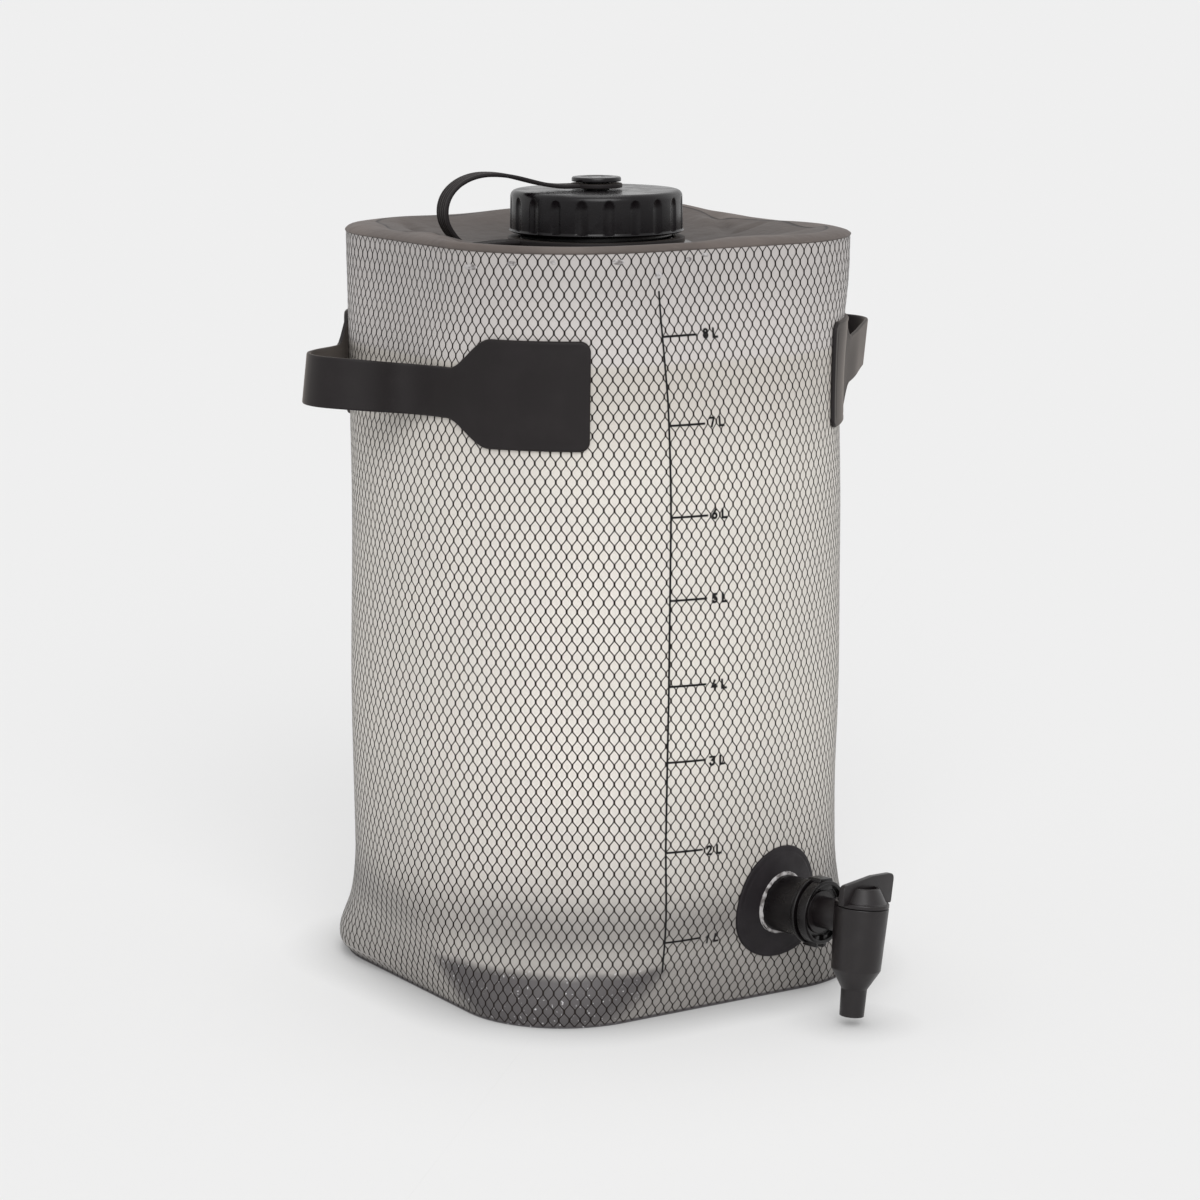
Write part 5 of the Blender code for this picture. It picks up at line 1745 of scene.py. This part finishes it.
@dataclass(frozen=True)
class ScrewCap:
    """Screw cap with grip flutes, a lip at its foot and a thread inside."""

    radius: float = 35.0 * MM
    bottom: float = 299.4 * MM
    top: float = 315.9 * MM
    ceiling: float = 313.4 * MM
    bore: float = 31.7 * MM
    lip_height: float = 0.8 * MM
    lip_step: float = 0.45 * MM
    edge: float = 2.4 * MM
    taper: float = 0.2 * MM
    flutes: int = 20
    flute_radius: float = 4.1 * MM
    flute_depth: float = 0.72 * MM
    flute_start: float = radians(11.8)
    top_margin: float = 6.1 * MM
    recess_radius: float = 5.1 * MM
    recess_depth: float = 2.0 * MM
    thread: Thread = Thread(301.6 * MM, 311.6 * MM, 4.2 * MM, 0.45 * MM)

    def flute(self, angle: float, level: float) -> float:
        """How deep the grip flutes cut in.

        Args:
            angle: Angle round the cap.
            level: Height on the cap.

        Returns:
            The depth there.
        """
        step = 2.0 * pi / self.flutes
        apart = (angle - self.flute_start + step / 2.0) % step - step / 2.0
        across = apart * self.radius
        over = 0.55 * max(level - (self.top - self.top_margin), 0.0)
        left = self.flute_radius ** 2 - across ** 2 - over ** 2
        if left <= 0.0 or level < self.bottom + self.lip_height + self.lip_step - 0.01 * MM:
            return 0.0
        return max(sqrt(left) - (self.flute_radius - self.flute_depth), 0.0)

    def build(self) -> None:
        """Makes the cap, which stands for the plain one."""
        side, foot = self.radius - self.lip_step, self.bottom + self.lip_height
        shoulder, low = self.top - self.edge, self.top - self.recess_depth
        profile = [(self.radius - 0.8 * MM, self.bottom), (self.radius, foot - 0.2 * MM),
                   (self.radius - 0.12 * MM, foot)]
        for index, level in enumerate(steps_between(foot + self.lip_step, shoulder, 40)):
            profile.append((side - self.taper * index / 40.0, level))
        for turn in (radians(90.0) * index / 9.0 for index in range(1, 10)):
            reach = side - self.taper - self.edge * (1.0 - cos(turn))
            profile.append((reach, shoulder + self.edge * sin(turn)))
        profile += [
            (side - 4.5 * MM, self.top - 0.02 * MM), (18.0 * MM, self.top - 0.10 * MM),
            (self.recess_radius + 0.3 * MM, self.top), (self.recess_radius, self.top - 0.3 * MM),
            (self.recess_radius, low), (0.5 * MM, low), (0.5 * MM, self.ceiling), (self.bore, self.ceiling)]
        levels = steps_between(self.ceiling - 0.5 * MM, self.bottom + 0.5 * MM, 36)
        profile += [(self.bore, level) for level in levels] + [(self.bore + 0.4 * MM, self.bottom)]

        def shape(angle: float, radius: float, level: float) -> Pair:
            """Cuts the flutes and raises the thread inside.

            Args:
                angle: Angle round the cap.
                radius: Radius of the point.
                level: Height of the point.

            Returns:
                The new radius and height.
            """
            if radius > side - self.taper - self.edge and self.bottom + 0.5 * MM < level:
                radius -= self.flute(angle, level)
            elif abs(radius - self.bore) < NEAR:
                radius -= self.thread.height(angle + pi, level)
            return radius, level

        mesh = revolve("cap", profile, 480, shape)
        place(mesh, "screw_cap", CAP_FINISH, Slot.CAP, ("cap_shell",), body=Body.CAP, crease=40.0)


@dataclass(frozen=True)
class Stud:
    """Push-in stud over the tether's eye, with a shallow dish and two marks."""

    head_radius: float = 9.9 * MM
    head_bottom: float = 319.2 * MM
    head_top: float = 321.0 * MM
    shank_radius: float = 4.8 * MM
    shank_bottom: float = 314.2 * MM
    dish_radius: float = 6.0 * MM
    dish_depth: float = 0.18 * MM
    dish_edge: float = 0.5 * MM
    mark: Triple = (2.6 * MM, 0.7 * MM, 0.5 * MM)
    mark_reach: float = 3.0 * MM

    def build(self) -> None:
        """Makes the stud, which stands for the plain one."""
        floor = self.head_top - self.dish_depth
        profile = rounded(
            [(0.0, floor), (self.dish_radius, floor),
             (self.dish_radius + self.dish_edge, self.head_top),
             (self.head_radius, self.head_top), (self.head_radius, self.head_bottom),
             (self.shank_radius, self.head_bottom), (self.shank_radius, self.shank_bottom),
             (0.0, self.shank_bottom)],
            (0.0, 0.2 * MM, 0.15 * MM, 0.9 * MM, 0.3 * MM, 0.1 * MM, 0.6 * MM, 0.0), closed=False)
        mesh = revolve("stud", profile, 96)
        length, width, depth = self.mark
        for side in (-1.0, 1.0):
            outline = [(x * width / 2.0, y * depth) for x, y in ((-1, -1), (1, -1), (1, 1), (-1, 1))]
            cutter = extrude("mark", outline, length, 0.1 * MM)
            moved(cutter, Matrix.Translation((side * self.mark_reach, 0.0, floor)))
            mesh = combined(mesh, cutter, Join.CUT)
        place(mesh, "tether_stud", CAP_FINISH, Slot.CAP, ("cap_stud",), body=Body.CAP, crease=40.0)


@dataclass
class Tap:
    """Dispensing tap: patch and port on the wall, union nut, body and knob."""

    axis_frame: Matrix
    swivel_frame: Matrix
    barrel_frame: Matrix
    form: BagForm = FORM
    patch_radius: float = 22.8 * MM
    boss_radius: float = 11.3 * MM
    boss_length: float = 15.0 * MM
    port_bore: float = 6.6 * MM
    neck_radius: float = 8.7 * MM
    neck_length: float = 18.5 * MM
    collar_radius: float = 12.6 * MM
    sleeve_radius: float = 10.9 * MM
    clip_radius: float = 13.3 * MM
    collar_low: float = 15.3 * MM
    collar_high: float = 23.1 * MM
    ear_top: float = 13.4 * MM
    ear_foot: float = 8.8 * MM
    ear_half: float = 4.0 * MM
    plate: Profile = ((1.5, -14.2), (3.6, -13.6), (3.9, -9.2), (1.3, -9.2))
    tube_radius: float = 6.2 * MM
    tube_bore: float = 3.5 * MM
    barrel_reach: float = 40.5 * MM
    barrel_top: float = 5.9 * MM
    barrel_bottom: float = 18.7 * MM
    barrel_top_radius: float = 10.7 * MM
    barrel_low_radius: float = 9.7 * MM
    cone: float = 7.8 * MM
    nozzle_radius: float = 4.8 * MM
    nozzle_bore: float = 3.7 * MM
    nozzle_length: float = 10.9 * MM
    cavity: float = 7.6 * MM
    hub_radius: float = 9.4 * MM
    hub_top: float = 6.4 * MM
    hub_height: float = 7.3 * MM
    rim_height: float = 1.5 * MM
    scoop_radius: float = 5.6 * MM
    wing_half: float = 13.4 * MM
    wing_reach: float = 4.2 * MM
    wing_thickness: float = 2.6 * MM
    wing_low: float = 8.5 * MM
    wing_high: float = 11.8 * MM

    @classmethod
    def from_joints(cls, joints: Sequence[dict], form: BagForm = FORM) -> Tap:
        """Takes the tap's frames from the joints that turn it.

        Args:
            joints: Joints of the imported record.
            form: Form of the bag.

        Returns:
            The tap in its place.
        """
        named = {joint["name"]: joint for joint in joints}
        collar, knob = named["tap_collar_turn"], named["tap_knob_turn"]
        out = Vector(collar["axis"]).normalized()
        up = Vector(knob["axis"]).normalized()
        axis = cls.frame(Vector(collar["pos_m"]), out, Vector((0.0, 0.0, 1.0)))
        swivel = cls.frame(Vector(collar["pos_m"]), out, up)
        barrel = cls.frame(Vector(knob["pos_m"]), up, -out)
        return cls(axis, swivel, barrel, form)

    @staticmethod
    def frame(origin: Vector, main: Vector, second: Vector) -> Matrix:
        """Frame whose Z lies along one direction and whose Y lies near another.

        Args:
            origin: Place of the frame.
            main: Direction of its Z.
            second: Direction that its Y lies near.

        Returns:
            The frame.
        """
        y = (second - main * second.dot(main)).normalized()
        x = y.cross(main)
        return Matrix.Translation(origin) @ Matrix((x, y, main)).transposed().to_4x4()

    def on_wall(self, radius: float, turn: float, offset: float) -> Vector:
        """Point over the wall round the port.

        Args:
            radius: Distance from the port's middle.
            turn: Angle round the port.
            offset: Distance out from the wall.

        Returns:
            The point.
        """
        middle = self.axis_frame.translation
        half, corner = self.form.section(middle.z)
        flat = half - corner
        bend = atan2(middle.x - flat, -(middle.y + flat))
        arc = flat + bend * corner
        level = middle.z + radius * sin(turn)
        around = (arc + radius * cos(turn)) / self.form.perimeter(middle.z)
        return self.form.point(around, level, offset)

    def wall_disc(self, name: str, rows: Sequence[Pair],
                  shape: Callable[[float, float, float], float] | None = None) -> Mesh:
        """Closed ring that follows the wall.

        Args:
            name: Name of the mesh.
            rows: Radius and offset all round its section.
            shape: Changes an offset from its angle, radius and offset.

        Returns:
            The closed mesh.
        """
        columns = 96
        grid = []
        for radius, offset in rows:
            row = []
            for column in range(columns):
                turn = 2.0 * pi * column / columns
                lift = shape(turn, radius, offset) if shape else offset
                row.append(self.on_wall(radius, turn, lift))
            grid.append(row)
        return grid_mesh(name, np.array(grid), close_rows=True, close_columns=True)

    def build_patch(self) -> None:
        """Makes the round patch over the port's flange, with its weld mark."""
        hole = self.boss_radius + 0.2 * MM

        def top(span: float) -> float:
            """Upper face of the patch, with its rounded edge and its weld mark.

            Args:
                span: Distance from the patch's middle.

            Returns:
                Its height over the wall.
            """
            share = ease((self.patch_radius - span) / (11.0 * MM))
            edge = round_edge(self.patch_radius - span, 0.7 * MM)
            ring = -0.10 * MM * bell(span - 20.6 * MM, 0.4 * MM)
            return mix(0.45 * MM, 1.05 * MM, edge) + 0.55 * MM * share + ring * edge

        def uneven(turn: float, radius: float, offset: float) -> float:
            """Adds slow waves to the upper face."""
            return offset + (0.06 * MM * sin(3.0 * turn + 90.0 * radius) if offset > 0.4 * MM else 0.0)

        rows = [(span, top(span)) for span in steps_between(hole, self.patch_radius, 40)]
        rows += [(span, 0.15 * MM) for span in steps_between(self.patch_radius, hole, 2)]
        patch = self.wall_disc("patch", rows, uneven)
        place(patch, "tap_patch_disc", PATCH_FINISH, Slot.PANEL, ("tap_patch",))

    def build_bead(self) -> None:
        """Makes the lumpy bead of weld round the boss."""
        low = 1.5 * MM
        inner, outer = self.boss_radius + 0.1 * MM, self.boss_radius + 1.35 * MM
        rows = [(mix(inner, outer, t), low + 0.75 * MM * sqrt(1.0 - t ** 2.2))
                for t in steps_between(0.0, 1.0, 12)]
        rows += [(outer, low - 0.2 * MM), (inner, low - 0.2 * MM)]

        def lumps(turn: float, radius: float, offset: float) -> float:
            """Makes the bead's upper face lumpy."""
            lump = 0.35 * sin(7.0 * turn + 0.4) * sin(3.0 * turn) + 0.2 * sin(17.0 * turn)
            return offset + max((offset - low) / MM, 0.0) * lump * MM

        bead = self.wall_disc("bead", rows, lumps)
        place(bead, "weld_bead", ClearBeadFinish(), Slot.WELD, ("port_weld_ring",))

    def build_port(self) -> None:
        """Makes the flange, the boss and its threaded end."""
        flange = revolve("flange", [
            (self.port_bore, -0.6 * MM), (12.4 * MM, -0.6 * MM), (12.4 * MM, -0.1 * MM),
            (self.port_bore, 0.9 * MM)], 96)
        moved(flange, Matrix.Scale(0.6, 4, (0.0, 0.0, 1.0)))
        core = self.neck_radius - 0.3 * MM
        thread = Thread(self.boss_length + 0.3 * MM, self.neck_length - 0.2 * MM, 1.6 * MM, 0.35 * MM)
        profile = [(self.port_bore, 0.2 * MM), (self.boss_radius, 0.2 * MM),
                   (self.boss_radius, self.boss_length - 0.5 * MM),
                   (self.boss_radius - 0.5 * MM, self.boss_length)]
        profile += [(core, level) for level in steps_between(self.boss_length, self.neck_length, 16)]
        profile += [(self.port_bore, self.neck_length)]

        def shape(turn: float, radius: float, level: float) -> Pair:
            """Raises the thread on the port's neck."""
            return radius + (thread.height(turn, level) if abs(radius - core) < NEAR else 0.0), level

        mesh = merged("port", [flange, revolve("boss", profile, 96, shape)])
        moved(mesh, self.axis_frame)
        place(mesh, "threaded_port", PORT_FINISH, Slot.TAP, ("tap_port",))

    def build_collar(self) -> None:
        """Makes the union nut, with its clip ring and front ring, an ear above and two plates below."""
        low, high = self.collar_low, self.collar_high
        wall, deep, inner = self.sleeve_radius - 1.9 * MM, high - 2.4 * MM, self.tube_radius + 0.25 * MM
        sleeve = self.sleeve_radius + 0.4 * MM
        profile = rounded(
            [(inner, deep), (inner, deep - 1.2 * MM), (wall, deep - 1.2 * MM), (wall, low),
             (self.sleeve_radius, low), (self.sleeve_radius, high - 6.9 * MM),
             (self.clip_radius, high - 6.6 * MM), (self.clip_radius, high - 5.3 * MM),
             (sleeve, high - 5.1 * MM), (sleeve, high - 4.3 * MM),
             (self.collar_radius, high - 4.1 * MM), (self.collar_radius, high),
             (self.collar_radius - 1.5 * MM, high), (self.collar_radius - 1.7 * MM, deep)],
            [radius * MM for radius in (
                0.2, 0.0, 0.0, 0.2, 0.4, 0.3, 0.4, 0.4, 0.2, 0.2, 0.4, 0.4, 0.4, 0.4)])
        mesh = revolve("collar", profile, 96)
        half, top = self.ear_half, self.ear_top
        corners = [(-half, self.ear_foot), (half, self.ear_foot), (half, top), (-half, top)]
        plates = [rounded(corners, (0.0, 0.0, 1.3 * MM, 1.3 * MM), 5)]
        for side in (-1.0, 1.0):
            plates.append([(side * x * MM, y * MM) for x, y in self.plate])
        upright = Matrix.Translation((0.0, 0.0, (low + high) / 2.0))
        upright = upright @ Matrix.Rotation(pi / 2.0, 4, "X").inverted()
        for outline in plates:
            plate = extrude("plate", outline, high - low - 1.6 * MM, 0.25 * MM)
            mesh = combined(mesh, moved(plate, upright))
        moved(mesh, self.swivel_frame)
        place(mesh, "union_nut", PORT_FINISH, Slot.TAP, ("tap_collar",), body=Body.COLLAR, crease=38.0)

    def build_body(self) -> None:
        """Makes the tube with its flange, the upright barrel, its cone and the nozzle."""
        floor = self.barrel_bottom + self.cone
        end = -floor - self.nozzle_length
        profile = rounded(
            [(self.cavity, self.barrel_top), (self.barrel_top_radius, self.barrel_top),
             (self.barrel_low_radius, -self.barrel_bottom), (self.nozzle_radius + 0.3 * MM, -floor),
             (self.nozzle_radius, end), (self.nozzle_bore, end), (self.nozzle_bore, -floor),
             (self.cavity - 1.0 * MM, -9.5 * MM), (self.cavity, -8.5 * MM)],
            [radius * MM for radius in (0.15, 0.35, 1.5, 0.9, 0.35, 0.25, 0.0, 0.0, 0.0)], 5)
        barrel = moved(revolve("barrel", profile, 96), self.barrel_frame)
        start, end = 10.8 * MM, self.barrel_reach - 8.2 * MM
        profile = rounded(
            [(self.tube_bore, start), (self.tube_radius, start), (self.tube_radius, 20.1 * MM),
             (8.5 * MM, 20.1 * MM), (8.5 * MM, 21.3 * MM), (self.tube_radius, 21.3 * MM),
             (self.tube_radius, end), (self.tube_bore, end)],
            (0.0, 0.3 * MM, 0.0, 0.2 * MM, 0.2 * MM, 0.0, 0.0, 0.0))
        tube = moved(revolve("tube", profile, 72), self.swivel_frame)
        mesh = combined(barrel, tube)
        place(mesh, "tap_spout", TAP_FINISH, Slot.TAP, ("tap_body",), body=Body.TAP, crease=38.0)

    def build_knob(self) -> None:
        """Makes the knob: a low rim, a scooped hub and an upright wing across the tube."""
        low = self.barrel_top + 0.3 * MM
        rim, top = low + self.rim_height, low + self.hub_height
        socket = self.barrel_top + 4.0 * MM
        profile = rounded(
            [(0.0, top), (self.hub_top, top), (self.hub_radius, rim + 0.2 * MM),
             (self.barrel_top_radius, rim), (self.barrel_top_radius, low), (3.7 * MM, low),
             (3.7 * MM, socket), (0.0, socket)],
            (0.0, 0.6 * MM, 0.8 * MM, 0.4 * MM, 0.15 * MM, 0.0, 0.0, 0.0), 5, closed=False)
        hub = revolve("hub", profile, 96)
        floor, over = top - 2.4 * MM, top + 2.0 * MM
        profile = rounded(
            [(0.0, floor), (self.scoop_radius - 0.8 * MM, floor), (self.scoop_radius, over), (0.0, over)],
            (0.0, 1.4 * MM, 0.0, 0.0), 5, closed=False)
        hub = combined(hub, revolve("scoop", profile, 64), Join.CUT)
        near, far, foot = -self.wing_half, self.wing_half + self.wing_reach, rim - 0.6 * MM
        past, high = self.barrel_top_radius + 0.5 * MM, low + self.wing_high
        outline = rounded(
            [(near, foot), (past, foot), (past, low), (far - 0.6 * MM, low), (far, high),
             (4.5 * MM, high - 0.4 * MM), (near, low + self.wing_low)],
            [radius * MM for radius in (0.5, 0.2, 0.3, 0.8, 2.6, 8.0, 2.4)], 7)
        mesh = combined(hub, extrude("wing", outline, self.wing_thickness, 0.35 * MM))
        moved(mesh, self.barrel_frame)
        place(mesh, "tap_lever", TAP_FINISH, Slot.TAP, ("tap_knob",), body=Body.KNOB, crease=38.0)

    def build(self) -> None:
        """Makes every piece of the tap."""
        self.build_patch()
        self.build_bead()
        self.build_port()
        self.build_collar()
        self.build_body()
        self.build_knob()


@dataclass(frozen=True)
class HiddenFinishes:
    """Finishes of the small inner pieces that keep their plain form."""

    seal: Finish = SEAL_FINISH
    plug: Finish = PLUG_FINISH
    ring: Finish = RibbedRubberFinish()

    def dress(self, nodes: dict[str, Object]) -> None:
        """Gives each inner piece its finish.

        Args:
            nodes: The frame's objects by their names.
        """
        rows = {
            "cap_seal": self.seal, "port_seal": self.seal, "tap_plug": self.plug, "plug_ring": self.ring}
        for name, finish in rows.items():
            mesh = nodes[name].data
            mesh.materials.clear()
            mesh.materials.append(finish.material(f"{name}_finish"))
            LOG.info("%s: dressed", name)


def show_apart(tree: bpy.types.NodeTree, lit: Socket, seen: Socket, surface: Socket) -> None:
    """Shows one shader to the camera, in reflections and through glass, and lights with another.

    Args:
        tree: Node tree of the floor or of the sky.
        lit: Shader that the scene's light meets.
        seen: Shader that is shown.
        surface: Socket of the tree's output.
    """
    path = tree.nodes.new("ShaderNodeLightPath")
    shown = path.outputs["Is Camera Ray"]
    for kind in ("Glossy", "Transmission"):
        either = tree.nodes.new("ShaderNodeMath")
        either.operation = Sum.LARGER.value
        tree.links.new(shown, either.inputs[0])
        tree.links.new(path.outputs[f"Is {kind} Ray"], either.inputs[1])
        shown = either.outputs[0]
    pick = tree.nodes.new("ShaderNodeMixShader")
    for socket, value in zip(pick.inputs, (shown, lit, seen)):
        tree.links.new(value, socket)
    tree.links.new(pick.outputs[0], surface)


@dataclass(frozen=True)
class Lamp:
    """Soft sun lamp: where it comes from, how strong and how wide."""

    name: str
    azimuth: float
    elevation: float
    strength: float
    spread: float
    color: Color = (1.0, 1.0, 1.0)

    def build(self) -> Object:
        """Makes the lamp.

        Returns:
            The lamp.
        """
        data = bpy.data.lights.new(self.name, "SUN")
        data.energy = self.strength
        data.angle = radians(self.spread)
        data.color = self.color
        item = hung(self.name, data)
        azimuth, elevation = radians(self.azimuth), radians(self.elevation)
        came_from = Vector((sin(azimuth) * cos(elevation), -cos(azimuth) * cos(elevation), sin(elevation)))
        item.rotation_euler = (-came_from).to_track_quat("-Z", "Y").to_euler()
        return item


@dataclass(frozen=True)
class Studio:
    """Pale studio: an even floor, a soft sky and wide lamps."""

    floor_size: float = 120.0
    floor_drop: float = 0.2 * MM
    floor_albedo: float = 0.85
    backdrop: float = 0.86
    shadow_share: float = 0.50
    sky: float = 0.46
    contact: float = 26.0 * MM
    lamps: tuple[Lamp, ...] = (
        Lamp("key_lamp", -26.0, 34.0, 1.94, 44.0),
        Lamp("side_lamp", 84.0, 18.0, 0.10, 40.0),
        Lamp("top_lamp", 152.0, 78.0, 0.66, 30.0))

    def floor_material(self) -> Material:
        """Makes the floor's material: an even backdrop to the camera that keeps the object's shadow.

        Returns:
            The material.
        """
        nodes = Nodes("floor", 0.9, 0.0)
        nodes.done((self.floor_albedo,) * 3)
        lit = nodes.shader.outputs[0]
        near = nodes.fill("ShaderNodeAmbientOcclusion", {"Distance": self.contact})
        near.samples = 4
        strength = nodes.spread(near.outputs["AO"], 0.35, 1.0, 0.30, 1.0, False)
        glow = nodes.fill("ShaderNodeEmission", {"Strength": strength, "Color": (self.backdrop,) * 3})
        seen = nodes.fill("ShaderNodeMixShader", {0: self.shadow_share, 1: glow.outputs[0], 2: lit})
        show_apart(nodes.tree, lit, seen.outputs[0], nodes.tree.nodes["Material Output"].inputs["Surface"])
        return nodes.material

    def build_sky(self) -> None:
        """Makes the even sky."""
        world = bpy.data.worlds.new("sky")
        world.use_nodes = True
        tree = world.node_tree
        around, seen = tree.nodes["Background"], tree.nodes.new("ShaderNodeBackground")
        for node, strength in ((around, self.sky), (seen, self.backdrop)):
            node.inputs["Color"].default_value = WHITE
            node.inputs["Strength"].default_value = strength
        show_apart(tree, around.outputs[0], seen.outputs[0], tree.nodes["World Output"].inputs[0])
        bpy.context.scene.world = world

    def build_floor(self) -> None:
        """Makes the floor, just under the object."""
        half = self.floor_size / 2.0
        mesh = bpy.data.meshes.new("floor")
        corners = [(-half, -half, 0.0), (half, -half, 0.0), (half, half, 0.0), (-half, half, 0.0)]
        mesh.from_pydata(corners, [], [(0, 1, 2, 3)])
        mesh.materials.append(self.floor_material())
        floor = hung("studio_floor", mesh)
        floor.location.z = -self.floor_drop

    def build(self) -> None:
        """Makes the sky, the floor and the lamps."""
        bpy.context.scene.view_settings.view_transform = "Standard"
        self.build_sky()
        self.build_floor()
        for lamp in self.lamps:
            lamp.build()
            LOG.info("%s: placed", lamp.name)


@dataclass(frozen=True)
class PhotoCamera:
    """Camera at the photo's place."""

    location: Triple = (-0.7634, -1.1938, 0.4215)
    azimuth: float = radians(-32.6)
    pitch: float = -0.190
    focal_px: float = 3537.0
    picture_px: float = 1200.0
    aside_px: float = 3.5
    sensor: float = 36.0

    def build(self) -> None:
        """Makes the camera and picks it."""
        data = bpy.data.cameras.new("photo_camera")
        data.sensor_width = self.sensor
        data.lens = self.focal_px / self.picture_px * self.sensor
        data.clip_start = 0.05
        data.clip_end = 200.0
        item = hung("photo_camera", data)
        item.location = self.location
        heading = self.azimuth - atan2(self.aside_px, self.focal_px)
        item.rotation_euler = (pi / 2.0 + self.pitch, 0.0, heading)
        bpy.context.scene.camera = item


def main() -> None:
    """Builds every piece in order."""
    logging.basicConfig(level=logging.INFO, format="%(message)s")
    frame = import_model()
    BaseCover().build()
    Wall().build()
    TopCover().build()
    Neck().build()
    Tether().build()
    ScrewCap().build()
    Stud().build()
    Handle(Side.LEFT, Body.LEFT_LOOP, lean=-1.2 * MM, flared=-1.0, flare=(13.0 * MM, 20.0 * MM)).build()
    Handle(Side.RIGHT, Body.RIGHT_LOOP, lean=1.2 * MM, flared=1.0, flare=(17.0 * MM, 19.0 * MM),
           outer_arc=93.5 * MM, inner_arc=54.5 * MM).build()
    Tap.from_joints(frame["joints"]).build()
    HiddenFinishes().dress(frame["nodes"])
    Studio().build()
    PhotoCamera().build()
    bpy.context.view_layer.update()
    LOG.info("sizes written")


if __name__ == "__main__":
    main()
